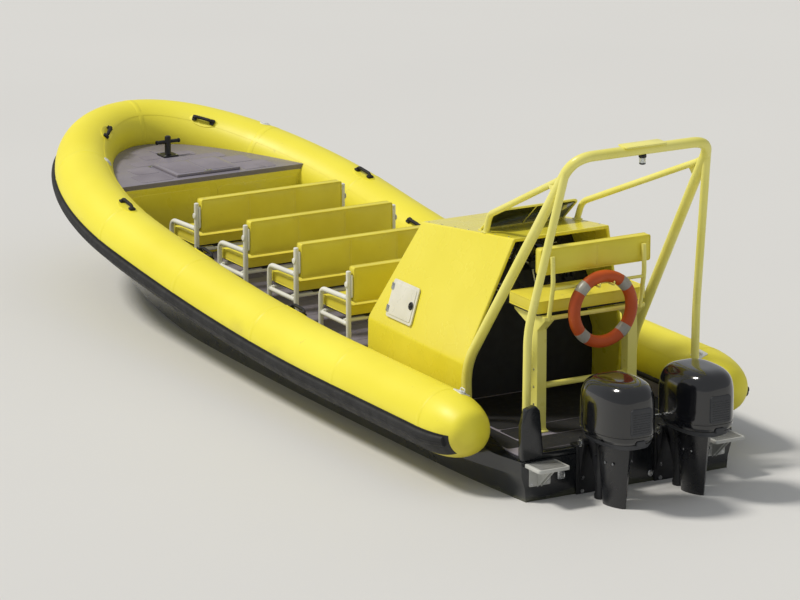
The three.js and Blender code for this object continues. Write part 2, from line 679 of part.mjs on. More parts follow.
function motorLegSolid() {
  const leg = loft(LEG_SECTIONS.map(bladeRing));
  const plate = prism([
    [-4320, 0], [-4420, 80], [-4560, 112], [-4745, 105],
    [-4760, 0], [-4745, -105], [-4560, -112], [-4420, -80],
  ], "z", -296, -284);
  const podProfile = [[0, 0], [26, 22], [48, 80], [54, 170], [50, 300], [44, POD_LENGTH], [0, POD_LENGTH]];
  const pod = turned(podProfile, 16, POD_NOSE_X, SHAFT_Z);
  const skeg = prism([
    [-4400, SHAFT_Z], [-4560, SHAFT_Z], [-4600, SHAFT_Z - 200], [-4520, SHAFT_Z - 210],
  ], "y", -8, 8);
  const upperArm = prism([
    [-4158, 24], [-4158, -24], [-4280, -52], [-4520, -52], [-4520, 52], [-4280, 52],
  ], "z", 441, 474);
  const lowerArm = box(-4470, -4290, -48, 48, -46, -7);
  const pivot = tube([[STEER_AXIS_X, 0, -20], [STEER_AXIS_X, 0, -6]], 30, 0, 10);
  return union([leg, plate, pod, skeg, upperArm, lowerArm, pivot]);
}

// The cowl's sections: height, front, back, half-width.
const COWL_SECTIONS = [
  { z: 480, front: -4285, back: -4815, half: 172 },
  { z: 560, front: -4252, back: -4852, half: 214 },
  { z: 770, front: -4252, back: -4856, half: 214 },
  { z: 880, front: -4285, back: -4838, half: 194 },
  { z: 950, front: -4365, back: -4760, half: 130 },
];

function cowlRing({ z, front, back, half }, inset) {
  const middle = (front + back) / 2;
  const halfLength = (front - back) / 2 - inset;
  const points = [];
  for (let i = 0; i < 20; i += 1) {
    const a = (i / 20) * Math.PI * 2;
    const c = Math.cos(a);
    const s = Math.sin(a);
    const x = middle + halfLength * Math.sign(c) * Math.abs(c) ** 0.62;
    const y = (half - inset) * Math.sign(s) * Math.abs(s) ** 0.62 * (c < 0 ? 1 + 0.2 * c : 1);
    points.push(new THREE.Vector3(x, y, z));
  }
  return points;
}

function cowlSolid() {
  const outside = loft(COWL_SECTIONS.map((section) => cowlRing(section, 0)));
  const inner = COWL_SECTIONS.map((section) => ({ ...section, z: Math.min(section.z, 926) }));
  inner[0] = { ...inner[0], z: 470 };
  const inside = loft(inner.map((section) => cowlRing(section, 22)));
  return outside.subtract(inside);
}

function powerheadSolid() {
  return box(-4700, -4385, -112, 112, 474 + GAP, 850);
}

// Propeller: a hub and three pitched blades about the shaft, which runs along x.
function propellerSolid() {
  const parts = [turned([[0, 0], [46, 0], [50, 40], [40, 96], [0, 100]], 16, 0, 0)];
  for (let i = 0; i < 3; i += 1) {
    const outline = [[-34, 30], [34, 30], [72, 110], [52, 168], [0, 182], [-40, 160], [-58, 100]];
    const shape = new THREE.Shape(outline.map(([x, y]) => new THREE.Vector2(x, y)));
    const blade = new THREE.ExtrudeGeometry(shape, { depth: 7, bevelEnabled: false });
    blade.translate(0, 0, -3.5);
    blade.rotateY(THREE.MathUtils.degToRad(62));
    blade.translate(-50, 0, 0);
    blade.rotateX((i * Math.PI * 2) / 3);
    parts.push(solidOf(blade));
  }
  return union(parts);
}

function outboard(side, y) {
  const group = new THREE.Group();
  group.position.set(0, y, 0);
  const propeller = mesh(`${side}_propeller`, propellerSolid(), BLACK, 0.35, 0.6);
  propeller.position.set(POD_NOSE_X - POD_LENGTH - 6, 0, SHAFT_Z);
  group.add(
    mesh(`${side}_clamp_bracket`, clampBracketSolid(), BLACK, 0.45),
    mesh(`${side}_swivel_bracket`, swivelBracketSolid(), BLACK, 0.45),
    mesh(`${side}_motor_leg`, motorLegSolid(), BLACK, 0.4),
    mesh(`${side}_cowl`, cowlSolid(), BLACK, 0.25),
    mesh(`${side}_powerhead`, powerheadSolid(), GREY, 0.6, 0.5),
    propeller,
  );
  return group;
}

// The bar that ties the two steering arms together, with an eye over each arm's end.
function tieBarSolid() {
  const z = 490;
  const pin = -4180;
  const bar = tube([[pin, -MOTOR_SPACING, z], [pin, MOTOR_SPACING, z]], 11);
  const eye = tube([[pin, MOTOR_SPACING, z - 14.5], [pin, MOTOR_SPACING, z + 14]], 20, 0, 10);
  return union([bar, bothSides(eye)]);
}

const tubeCut = collarSolid(GAP);
const boat = new THREE.Group();
boat.add(
  mesh("hull", hullSolid(tubeCut), BLACK, 0.4),
  mesh("sole", soleSolid(), GREY, 0.8),
  mesh("transom", transomSolid(), BLACK, 0.45),
  mesh("collar", collarSolid(0), YELLOW, 0.5),
  mesh("rub_strake", rubStrakeSolid(), BLACK, 0.7),
  mesh("foredeck", foredeckSolid(tubeCut), GREY, 0.7),
);

const lid = mesh("foredeck_lid", foredeckLidSolid(), GREY, 0.7);
lid.position.set(HATCH.x1 + LID.overhang, 0, FOREDECK_Z + GAP);
boat.add(lid);

const mooringPost = mesh("mooring_post", mooringPostSolid(), BLACK, 0.4, 0.5);
mooringPost.position.set(2960, 0, FOREDECK_Z + GAP);
boat.add(mooringPost);

BENCH_AFT_X.forEach((x, i) => boat.add(bench(i + 1, x)));

boat.add(
  mesh("console", consoleSolid(), YELLOW, 0.4),
  mesh("dash", dashSolid(), BLACK, 0.6),
  mesh("windscreen", windscreenSolid(), 0x30363a, 0.1),
  sideLockerDoor(),
  steeringWheel(),
  helmBench(),
  lifebuoy(),
  mesh("arch", archSolid(), YELLOW, 0.4),
);

[["port", 1], ["starboard", -1]].forEach(([side, sign]) => {
  const step = mesh(`${side}_stern_step`, sternStepSolid(), WHITE, 0.7);
  step.position.set(TRANSOM_X, sign * 740, 0);
  boat.add(step, outboard(side, sign * MOTOR_SPACING));
});
boat.add(mesh("tie_bar", tieBarSolid(), WHITE, 0.3, 0.9));

export default boat;
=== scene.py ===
from math import atan, copysign, cos, degrees, dist, exp, pi, radians, sin, sqrt, tanh

import bmesh
import bpy
from bpy.props import FloatProperty, FloatVectorProperty, IntProperty, PointerProperty
from mathutils import Matrix, Vector
from mathutils.bvhtree import BVHTree


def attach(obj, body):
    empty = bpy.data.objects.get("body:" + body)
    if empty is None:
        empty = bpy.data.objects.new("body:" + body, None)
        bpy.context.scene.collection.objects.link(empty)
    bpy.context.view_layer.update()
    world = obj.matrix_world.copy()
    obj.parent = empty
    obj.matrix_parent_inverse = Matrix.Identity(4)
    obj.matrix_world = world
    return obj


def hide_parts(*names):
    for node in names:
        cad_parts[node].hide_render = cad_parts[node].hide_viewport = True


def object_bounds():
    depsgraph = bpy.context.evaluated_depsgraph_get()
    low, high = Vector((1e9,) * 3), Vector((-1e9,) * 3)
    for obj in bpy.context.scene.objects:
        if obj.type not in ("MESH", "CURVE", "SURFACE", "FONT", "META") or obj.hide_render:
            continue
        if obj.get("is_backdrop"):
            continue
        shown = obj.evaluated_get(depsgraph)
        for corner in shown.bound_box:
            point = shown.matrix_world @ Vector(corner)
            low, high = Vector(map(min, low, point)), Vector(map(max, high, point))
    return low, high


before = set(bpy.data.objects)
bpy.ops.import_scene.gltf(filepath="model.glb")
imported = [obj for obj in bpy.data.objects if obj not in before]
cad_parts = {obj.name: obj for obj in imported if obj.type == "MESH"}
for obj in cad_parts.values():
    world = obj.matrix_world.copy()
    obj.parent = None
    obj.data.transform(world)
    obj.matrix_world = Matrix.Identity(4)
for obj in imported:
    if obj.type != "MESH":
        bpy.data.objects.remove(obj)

bl_info = {
    "name": "Rigid Inflatable Passenger Boat",
    "version": (1, 0, 0),
    "blender": (4, 5, 0),
    "location": "3D View > Sidebar > Boat",
    "description": "Builds the looks of a rigid inflatable passenger boat around its packed frame",
    "category": "Add Mesh",
}

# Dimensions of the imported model, in metres
COLLAR_HALF = 3.875
BOW_START = 1.325
BOW_LENGTH = 2.31
TUBE_BEAM = 1.1
TUBE_R = 0.24
TUBE_LOW = 0.46
TUBE_RISE = 0.64
CONE = 0.42
NOSE = 0.06
STRAKE_ANGLE = -0.26
STRAKE_HALF = 0.19
FLOOR = 0.3126
SOLE_TOP = 0.3123
FOREDECK_TOP = 0.9603
TRANSOM_X = -4.16
BENCHES = {1: 1.185, 2: 0.365, 3: -0.455, 4: -1.275}
BENCH_Y = 0.665
BENCH_DEPTH = 0.43
BENCH_BARS = (0.075, 0.4)
HELM_X = -3.715
HELM_POST_Y = 0.385
BUOY_AT = (-3.807, 0, 1.225)
BUOY_R = 0.242
WHEEL_AT = Vector((-2.85, 0.0, 1.335))
WHEEL_TILT = radians(-75)
WHEEL_R = 0.18
STEER_X = -4.33
TILT_X = -4.2
TILT_Z = 0.39
SHAFT_Z = -0.49
TIE_BAR_X = -4.18
TIE_BAR_Z = 0.49
SIDES = {"port": 0.33, "starboard": -0.33}
ROOT = "boat"
BEVEL_ANGLE = radians(30)
FILL_FRAMES = 20


def linear(code):
    """An sRGB hex colour as linear red, green, blue and alpha."""
    parts = [int(code[i:i + 2], 16) / 255 for i in (1, 3, 5)]
    return [c / 12.92 if c <= 0.04045 else ((c + 0.055) / 1.055) ** 2.4 for c in parts] + [1.0]


def length_prop(name, description, default):
    return FloatProperty(
        name=name, description=description, default=default, min=0.0, subtype="DISTANCE", unit="LENGTH")


def colour_prop(name, description, code):
    return FloatVectorProperty(
        name=name, description=description, default=linear(code), size=4, min=0.0, max=1.0, subtype="COLOR")


class BoatSizes(bpy.types.PropertyGroup):
    """Sizes a user would change."""

    seam_pitch: length_prop("Seam pitch", "Distance between the glued ring seams of the tube", 1.31)
    seam_width: length_prop("Seam width", "Width of a seam tape on the tube", 0.05)
    seam_proud: length_prop("Seam height", "How far a seam tape stands off the tube", 0.0016)
    pad_swell: length_prop("Cushion swell", "The most that a cushion's face moves out as it is filled", 0.011)
    pad_corner: length_prop("Cushion corner", "Corner radius of a cushion", 0.018)
    piping: length_prop("Piping", "Radius of the cushions' piping", 0.0045)
    places: IntProperty(name="Places", description="Seat places sewn into each bench", default=3, min=1, max=6)
    stitch_pitch: length_prop("Stitch pitch", "Distance between stitches", 0.011)
    slat_pitch: length_prop("Louvre pitch", "Distance between the cowls' air louvres", 0.017)


class BoatColours(bpy.types.PropertyGroup):
    """Colours a user would change."""

    tube: colour_prop("Tube", "Coated fabric of the collar", "#F4E944")
    gelcoat: colour_prop("Gelcoat", "Moulded console", "#F4E74A")
    paint: colour_prop("Paint", "Painted tube of the arch and posts", "#F3EC84")
    vinyl: colour_prop("Vinyl", "Cushion covers", "#EADD45")
    hull: colour_prop("Hull", "Gelcoat below the tubes", "#15171A")
    deck: colour_prop("Deck", "Non-slip sole and foredeck", "#8E8890")


class BoatStage(bpy.types.PropertyGroup):
    """Camera and light."""

    lens: FloatProperty(name="Lens", description="Focal length of the camera", default=226.0, min=10.0, unit="CAMERA")
    key: FloatProperty(name="Key light", description="Strength of the large soft key light", default=2.45, min=0.0)
    fill: FloatProperty(name="Fill light", description="Strength of the surrounding light", default=0.46, min=0.0)


# Nodes and finishes


def add_node(tree, kind, inputs=None, **settings):
    """Adds a node with its settings; an input is given a value, or linked where it is given a socket."""
    node = tree.nodes.new(kind)
    for key, value in settings.items():
        setattr(node, key, value)
    for key, value in (inputs or {}).items():
        if isinstance(value, bpy.types.NodeSocket):
            tree.links.new(value, node.inputs[key])
        else:
            node.inputs[key].default_value = value
    return node


FINISHES = {}
SLOTS = {}


def finish(name, slot, base, tint, patch, rough, grain, depth, cells=False, stretch=(1, 1, 1), coat=(0.0, 0.03),
           **sockets):
    """A finish and its slot: base goes to tint in patches, roughness wanders in a range, a grain is `depth` high."""
    base, tint = (linear(c) if isinstance(c, str) else c for c in (base, tint))
    material = bpy.data.materials.new(name)
    material.use_nodes = True
    tree = material.node_tree
    tree.nodes.clear()
    place = add_node(tree, "ShaderNodeTexCoord").outputs["Object"]
    patches = add_node(tree, "ShaderNodeTexNoise", {"Vector": place, "Scale": 1.0 / patch, "Detail": 3.0})
    share = add_node(tree, "ShaderNodeMapRange", {"Value": patches.outputs["Fac"], "From Min": 0.36, "From Max": 0.68})
    colour = add_node(tree, "ShaderNodeMix", {0: share.outputs["Result"], 6: base, 7: tint}, data_type="RGBA")
    rubbed = add_node(tree, "ShaderNodeTexNoise", {"Vector": place, "Scale": 3.2 / patch, "Detail": 3.0})
    wander = add_node(tree, "ShaderNodeMapRange", {
        "Value": rubbed.outputs["Fac"], "From Min": 0.3, "From Max": 0.7, "To Min": rough[0], "To Max": rough[1]})
    spread = add_node(tree, "ShaderNodeMapping", {"Vector": place, "Scale": stretch}).outputs["Vector"]
    texture = add_node(tree, "ShaderNodeTexVoronoi" if cells else "ShaderNodeTexNoise", {
        "Vector": spread, "Scale": 1.0 / grain, "Detail": 0.0 if cells else 3.0})
    height = texture.outputs["Distance" if cells else "Fac"]
    bump = add_node(tree, "ShaderNodeBump", {"Strength": 0.7, "Distance": depth, "Height": height})
    shader = add_node(tree, "ShaderNodeBsdfPrincipled", {
        "Base Color": colour.outputs[2], "Roughness": wander.outputs["Result"], "Normal": bump.outputs["Normal"],
        "Coat Weight": coat[0], "Coat Roughness": coat[1], **sockets})
    out = add_node(tree, "ShaderNodeOutputMaterial", {"Surface": shader.outputs["BSDF"]})
    out.is_active_output = True
    FINISHES[name], SLOTS[name] = material, slot
    return {"tree": tree, "place": place, "shader": shader, "colour": colour.outputs[2]}


def over(recipe, code, mask):
    """Lays another colour over a finish where a mask is 1."""
    laid = add_node(recipe["tree"], "ShaderNodeMix", {0: mask, 6: recipe["colour"], 7: linear(code)}, data_type="RGBA")
    recipe["colour"] = laid.outputs[2]
    recipe["tree"].links.new(recipe["colour"], recipe["shader"].inputs["Base Color"])


def scuffed(recipe, code, size, low, high):
    """Spots and scuffs of another colour, about `size` across."""
    tree = recipe["tree"]
    spots = add_node(tree, "ShaderNodeTexNoise", {
        "Vector": recipe["place"], "Scale": 1.0 / size, "Detail": 6.0, "Roughness": 0.7})
    mask = add_node(tree, "ShaderNodeMapRange", {"Value": spots.outputs["Fac"], "From Min": low, "From Max": high})
    over(recipe, code, mask.outputs["Result"])


def grimy(recipe, code, low, high, ragged, size):
    """Another colour below `low`, gone above `high`, with an edge broken up by noise."""
    tree = recipe["tree"]
    z = add_node(tree, "ShaderNodeSeparateXYZ", {0: recipe["place"]}).outputs["Z"]
    edge = add_node(tree, "ShaderNodeTexNoise", {"Vector": recipe["place"], "Scale": 1.0 / size, "Detail": 5.0})
    wobble = add_node(tree, "ShaderNodeMapRange", {
        "Value": edge.outputs["Fac"], "From Min": 0.2, "From Max": 0.8, "To Min": -ragged, "To Max": ragged})
    level = add_node(tree, "ShaderNodeMath", {0: z, 1: wobble.outputs["Result"]}, operation="ADD")
    mask = add_node(tree, "ShaderNodeMapRange", {
        "Value": level.outputs[0], "From Min": low, "From Max": high, "To Min": 1.0, "To Max": 0.0})
    over(recipe, code, mask.outputs["Result"])


def build_finishes(colours):
    """Every finish of the boat, each named for the real material."""
    # Polyester fabric coated with coloured synthetic rubber: satin, bleached in patches, scuffed, darker yellow towards
    # the bottom.
    tube = finish(
        "rubber_coated_tube_fabric", "tube_fabric", colours.tube, "#EEE138", 0.9, (0.42, 0.56), 0.004, 0.0003, IOR=1.5)
    grimy(tube, "#D0C23C", 0.2, 0.52, 0.16, 0.35)
    scuffed(tube, "#DACD4A", 0.12, 0.66, 0.76)
    # Extruded black rubber: matt, greyed where it rubs.
    strake = finish("extruded_black_rubber", "strake_rubber", "#141414", "#1E1E1F", 0.25, (0.6, 0.8), 0.006, 0.0005)
    scuffed(strake, "#45443F", 0.05, 0.62, 0.74)
    # Glass-fibre laminate with dark gelcoat: glossy, with a dull olive slime line low on the sides.
    hull = finish("dark_gelcoat_laminate", "hull_grp", colours.hull, "#1C1F22", 0.6, (0.16, 0.3), 0.03, 0.0004, **{
        "Coat Weight": 0.3, "Coat Roughness": 0.12})
    grimy(hull, "#3B3D2E", 0.015, 0.05, 0.03, 0.2)
    # Inner liner in grey gelcoat: satin, a little paler in patches.
    finish("grey_liner_gelcoat", "deck_grip", "#7F7A84", "#8B8690", 0.5, (0.35, 0.5), 0.03, 0.0004)
    # Sanded non-slip deck coating: matt and gritty; the grit is drawn at 4 mm so that it shows.
    deck = finish(
        "sanded_deck_coating", "deck_grip", colours.deck, "#7D7780", 0.35, (0.75, 0.92), 0.004, 0.0012, cells=True)
    scuffed(deck, "#6E6A6C", 0.22, 0.6, 0.72)
    # Moulded yellow gelcoat: bright and glossy under a clear film of wax.
    yellow = finish("yellow_gelcoat", "yellow_grp", colours.gelcoat, "#EDDF3A", 0.7, (0.2, 0.34), 0.05, 0.0004, **{
        "Coat Weight": 0.4, "Coat Roughness": 0.1})
    scuffed(yellow, "#E2D650", 0.3, 0.66, 0.8)
    # Two-pack paint on aluminium tube: paler yellow, satin gloss, rubbed dull in spots.
    paint = finish(
        "yellow_painted_aluminium", "yellow_paint", colours.paint, "#EEE670", 0.4, (0.24, 0.42), 0.012, 0.0003)
    scuffed(paint, "#C9C27A", 0.06, 0.7, 0.78)
    # Marine vinyl: a fine leather grain, drawn at 3 mm, soft gloss, a little soiled.
    vinyl = finish("marine_vinyl", "seat_vinyl", colours.vinyl, "#DFD03A", 0.4, (0.36, 0.5), 0.003, 0.0005, cells=True,
                   **{"Sheen Weight": 0.08, "Sheen Roughness": 0.5})
    scuffed(vinyl, "#CEC04A", 0.16, 0.64, 0.76)
    # White powder coat on aluminium: slight orange peel.
    white = finish("white_powder_coat", "white_tube", "#E6E7E3", "#DADBD6", 0.3, (0.3, 0.42), 0.003, 0.0003)
    scuffed(white, "#B9B8AE", 0.05, 0.68, 0.78)
    # Black polyethylene board under the seats, whose black is also painted shade beneath the cushions: waxy and plain.
    finish("black_polyethylene", "black_metal", "#17181A", "#1F2022", 0.2, (0.45, 0.6), 0.004, 0.0004)
    # Marine stainless: long brushed streaks along the bar.
    finish("brushed_stainless", "stainless", "#C9CBCC", "#B4B6B8", 0.08, (0.2, 0.34), 0.002, 0.00012,
           stretch=(0.1, 1, 1), Metallic=1.0)
    # Black powder coat on castings and brackets: even, with a satin sheen.
    finish("black_powder_coat", "black_metal", "#141517", "#1C1D20", 0.15, (0.38, 0.52), 0.003, 0.0004)
    # Textured ABS of the dash: matt black with a fine pebble.
    finish("textured_black_abs", "dash_panel", "#17181A", "#202123", 0.2, (0.55, 0.7), 0.002, 0.0005, cells=True)
    # Display glass: nearly black, mirror smooth.
    finish("display_glass", "dash_panel", "#05070A", "#0A0F14", 0.1, (0.04, 0.08), 0.05, 0.00002, IOR=1.52)
    # Printed dial markings: plain white ink.
    finish("dial_white", "dash_panel", "#E9EAE6", "#DDDED8", 0.05, (0.4, 0.5), 0.002, 0.0001)
    # Smoked acrylic: clear but dark, with a hard gloss.
    finish("smoked_acrylic", "smoked_screen", "#3A4247", "#343C41", 0.5, (0.03, 0.08), 0.2, 0.0001, IOR=1.49, **{
        "Transmission Weight": 0.75})
    # Off-white gelcoat of the moulded door: satin gloss, a little scuffed.
    door = finish("white_gelcoat", "white_door", "#E4E2D6", "#D9D7C8", 0.2, (0.25, 0.38), 0.02, 0.0003)
    scuffed(door, "#B7B4A2", 0.07, 0.66, 0.78)
    # Soft-grip polyurethane of the wheel rim: dull black, finely pebbled.
    finish("soft_grip_polyurethane", "wheel_grip", "#1A1A1B", "#232324", 0.1, (0.55, 0.7), 0.002, 0.0004, cells=True)
    # Moulded polyethylene ring: orange, its base deepened towards brown as painted shade, darker in patches, faded and
    # chalky in spots.
    buoy = finish("orange_polyethylene", "buoy_shell", "#C2500F", "#AE440E", 0.25, (0.4, 0.55), 0.02, 0.0008)
    scuffed(buoy, "#CC7234", 0.08, 0.62, 0.76)
    # Reflective tape: white, with a faint cell pattern drawn at 5 mm.
    finish("reflective_tape", "buoy_shell", "#A5A298", "#96938A", 0.1, (0.25, 0.35), 0.005, 0.0003, cells=True)
    # Bonded polyester thread: pale and matt.
    finish("polyester_thread", "seat_vinyl", "#F2E98C", "#E6DC78", 0.05, (0.6, 0.7), 0.001, 0.0002)
    # Marine enamel on the motor's castings: deep black with a clear coat.
    leg = finish("black_marine_enamel", "motor_paint", "#101114", "#17181C", 0.3, (0.22, 0.36), 0.01, 0.0004, **{
        "Coat Weight": 0.3, "Coat Roughness": 0.15})
    scuffed(leg, "#3A3B3C", 0.05, 0.7, 0.8)
    # Moulded cowl: black lacquer with a hard, even shine.
    finish("black_cowl_lacquer", "cowl_gloss", "#0D0E11", "#131418", 0.8, (0.1, 0.18), 0.12, 0.0003, **{
        "Coat Weight": 0.7, "Coat Roughness": 0.05})
    # Lower cowl in unpainted moulding: dark grey satin.
    finish("grey_moulded_pan", "cowl_gloss", "#2B2D31", "#34363A", 0.3, (0.42, 0.55), 0.003, 0.0004)
    # Painted casting of the powerhead: rough grey metal.
    finish(
        "grey_cast_aluminium", "powerhead_metal", "#6B6D70", "#585A5D", 0.06, (0.5, 0.65), 0.004, 0.0008, Metallic=0.6)
    # Sacrificial zinc: dull, pitted.
    finish("sacrificial_zinc", "powerhead_metal", "#9A9C9C", "#7F8180", 0.03, (0.6, 0.8), 0.004, 0.0015, Metallic=0.5)
    # Light grey moulded step: matt, with a fine pebble.
    finish("grey_step_moulding", "step_grp", "#C3C4BF", "#B2B3AE", 0.12, (0.6, 0.75), 0.003, 0.0008, cells=True)
    # Clear lens of a navigation light: glossy and see-through.
    finish("clear_lens", "smoked_screen", "#E8ECEA", "#DDE2E0", 0.1, (0.05, 0.1), 0.003, 0.0003, IOR=1.49, **{
        "Transmission Weight": 0.6})


# Shapes


class Shape:
    """Closed shells gathered into one mesh."""

    def __init__(self):
        self.bm = bmesh.new()

    def band(self, a, b):
        """Faces between two rows of vertices."""
        for i in range(len(a)):
            j = (i + 1) % len(a)
            self.bm.faces.new((a[i], a[j], b[j], b[i]))

    def walls(self, rings):
        """Rings of equal count joined by faces; gives their vertices."""
        rows = [[self.bm.verts.new(p) for p in ring] for ring in rings]
        for a, b in zip(rows, rows[1:]):
            self.band(a, b)
        return rows

    def moved(self, place):
        """Moves the whole shape by a matrix or an offset."""
        self.bm.transform(place if isinstance(place, Matrix) else Matrix.Translation(place))
        return self

    def take(self, other):
        """Adds another shape's shells."""
        held = other.mesh("held")
        self.bm.from_mesh(held)
        bpy.data.meshes.remove(held)
        return self

    def loft(self, rings, closed=True):
        """Joins rings with a face over each end, or the last ring to the first."""
        rows = self.walls(rings)
        if closed:
            self.bm.faces.new(rows[0][::-1])
            self.bm.faces.new(rows[-1])
        else:
            self.band(rows[-1], rows[0])
        return self

    def turned(self, profile, origin=(0, 0, 0), axis=(0, 0, 1), segments=32):
        """A turned body: its profile is (radius, height along the axis)."""
        matrix = Matrix.Translation(Vector(origin)) @ Vector(axis).to_track_quat("Z", "Y").to_matrix().to_4x4()
        return self.loft([[matrix @ Vector((*polar(max(radius, 1e-5), a), height)) for a in turns(segments)]
                          for radius, height in profile])

    def prism(self, outline, axis, low, high, bevel=0.0, segments=2):
        """An outline pushed along an axis: (x, y) for z, (x, z) for y and (y, z) for x."""
        def at(a, b, c):
            return {"z": (a, b, c), "y": (a, c, b), "x": (c, a, b)}[axis]
        piece = Shape().loft([[at(a, b, c) for a, b in outline] for c in (low, high)])
        return self.take(piece.bevelled(bevel, segments))

    def slab(self, x0, x1, y0, y1, corner, *push):
        """A rectangle with round corners pushed along an axis."""
        return self.prism(rounded_rectangle(x0, x1, y0, y1, corner), *push)

    def block(self, low, high, bevel=0.0, segments=2):
        """A box between two corners."""
        (x0, y0, z0), (x1, y1, z1) = low, high
        return self.prism([(x0, y0), (x1, y0), (x1, y1), (x0, y1)], "z", z0, z1, bevel, segments)

    def pipe(self, points, radius, bend=0.0, sides=16, steps=7, dome=False):
        """A round tube along straight runs with rounded bends."""
        line = rounded_line(points, bend, steps)
        heads = headings(line)
        normal = heads[0].orthogonal().normalized()
        rings = []
        for place, head in zip(line, heads):
            normal = (normal - head * normal.dot(head)).normalized()
            rings.append((place, head, normal, radius))
        if dome:
            rings = dome_rings(rings[0], -1)[::-1] + rings + dome_rings(rings[-1], 1)
        return self.loft([circle(*ring, sides) for ring in rings])

    def bevelled(self, width, segments):
        """Rounds every sharp edge."""
        if width:
            bmesh.ops.recalc_face_normals(self.bm, faces=self.bm.faces)
            sharp = [e for e in self.bm.edges if e.is_manifold and e.calc_face_angle(0) > BEVEL_ANGLE]
            bmesh.ops.bevel(
                self.bm, geom=sharp, offset=width, segments=segments, profile=0.5, affect="EDGES", clamp_overlap=True)
        return self

    def mapped(self, place):
        """Moves every point by a function."""
        for vert in self.bm.verts:
            vert.co = place(vert.co)
        return self

    def mesh(self, name):
        """Everything gathered so far as a mesh; the shape is used up."""
        made = bpy.data.meshes.new(name)
        self.bm.to_mesh(made)
        self.bm.free()
        return made


def turns(count, start=0.0):
    """Angles evenly spaced round a full turn."""
    return [2 * pi * (i + start) / count for i in range(count)]


def polar(radius, angle):
    """The (x, y) of a point on a circle."""
    return radius * cos(angle), radius * sin(angle)


def blunt(value, power):
    """A sine or cosine bent towards a boxier oval."""
    return copysign(abs(value) ** power, value)


def circle(place, head, normal, radius, sides):
    """Points of a ring square to a heading."""
    across = head.cross(normal)
    return [place + (normal * cos(a) + across * sin(a)) * radius for a in turns(sides, 0.5)]


def dome_rings(ring, sign):
    """Rings that close a tube's end with a dome."""
    place, head, normal, radius = ring
    angles = [pi / 2 * i / 5 for i in range(1, 6)]
    return [(place + head * sign * radius * sin(a), head, normal, max(radius * cos(a), 1e-5)) for a in angles]


def rounded_line(points, bend, steps):
    """The points with each inner corner replaced by a bend."""
    corners = [Vector(p) for p in points]
    line = [corners[0]]
    for before, corner, after in zip(corners, corners[1:], corners[2:]):
        back, on = before - corner, after - corner
        reach = min(bend, back.length * 0.45, on.length * 0.45)
        if reach < 1e-6:
            line.append(corner)
            continue
        start, stop = corner + back.normalized() * reach, corner + on.normalized() * reach
        for t in (i / steps for i in range(steps + 1)):
            line.append(start * (1 - t) ** 2 + corner * 2 * t * (1 - t) + stop * t ** 2)
    return line + [corners[-1]]


def headings(line):
    """Unit headings along a line of points."""
    made = []
    for i, place in enumerate(line):
        head = Vector((0, 0, 0))
        if i > 0:
            head += (place - line[i - 1]).normalized()
        if i + 1 < len(line):
            head += (line[i + 1] - place).normalized()
        made.append(head.normalized())
    return made


def spline(points, steps):
    """A smooth line through points of any number of values."""
    first, last = ([2 * a - b for a, b in zip(one, two)] for one, two in (points[:2], points[:-3:-1]))
    whole = [first, *points, last]
    made = []
    for four in zip(whole, whole[1:], whole[2:], whole[3:]):
        for t in (step / steps for step in range(steps)):
            made.append(tuple(0.5 * (2 * b + (c - a) * t + (2 * a - 5 * b + 4 * c - d) * t * t
                                     + (3 * b - a - 3 * c + d) * t ** 3) for a, b, c, d in zip(*four)))
    return made + [tuple(points[-1])]


def both_halves(outline):
    """A half outline along an axis, joined to its mirror image."""
    return outline + [(x, -y) for x, y in outline[::-1] if abs(y) > 1e-9]


def rounded_rectangle(x0, x1, y0, y1, radius, steps=5):
    """Outline of a rectangle with round corners."""
    made = []
    for cx, cy, turn in ((x1, y1, 0), (x0, y1, 90), (x0, y0, 180), (x1, y0, 270)):
        ox = cx - copysign(radius, cx - (x0 + x1) / 2)
        oy = cy - copysign(radius, cy - (y0 + y1) / 2)
        for a in (radians(turn + 90 * i / steps) for i in range(steps + 1)):
            made.append((ox + radius * cos(a), oy + radius * sin(a)))
    return made


def cad_shape(node, bevel, segments=2):
    """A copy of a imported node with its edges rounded."""
    shape = Shape()
    bm = shape.bm
    bm.from_mesh(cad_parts[node].data)
    bmesh.ops.remove_doubles(bm, verts=bm.verts, dist=2e-5)
    bmesh.ops.dissolve_limit(bm, angle_limit=radians(1), verts=bm.verts, edges=bm.edges, delimit=set())
    return shape.bevelled(bevel, segments)


def evaluated(piece):
    """A plain mesh of an object with its modifiers run, which come off it."""
    made = bpy.data.meshes.new_from_object(piece.evaluated_get(bpy.context.evaluated_depsgraph_get()))
    piece.modifiers.clear()
    return made


def keep_flats(piece):
    """Gives the shading at a rounded edge to the rounding, so that broad faces stay flat."""
    piece.modifiers.new("flats", "WEIGHTED_NORMAL").keep_sharp = True
    old = piece.data
    name = old.name
    piece.data = evaluated(piece)
    bpy.data.meshes.remove(old)
    piece.data.name = name


def welded(mesh, degenerate=False):
    """A mesh whose doubled points are merged and whose faces point outwards."""
    bm = bmesh.new()
    bm.from_mesh(mesh)
    bmesh.ops.remove_doubles(bm, verts=bm.verts, dist=1e-6)
    if degenerate:
        bmesh.ops.dissolve_degenerate(bm, edges=bm.edges, dist=1e-7)
    bmesh.ops.recalc_face_normals(bm, faces=bm.faces)
    bm.to_mesh(mesh)
    bm.free()
    return mesh


def linked(name, data):
    """A new object in the scene."""
    piece = bpy.data.objects.new(name, data)
    bpy.context.scene.collection.objects.link(piece)
    return piece


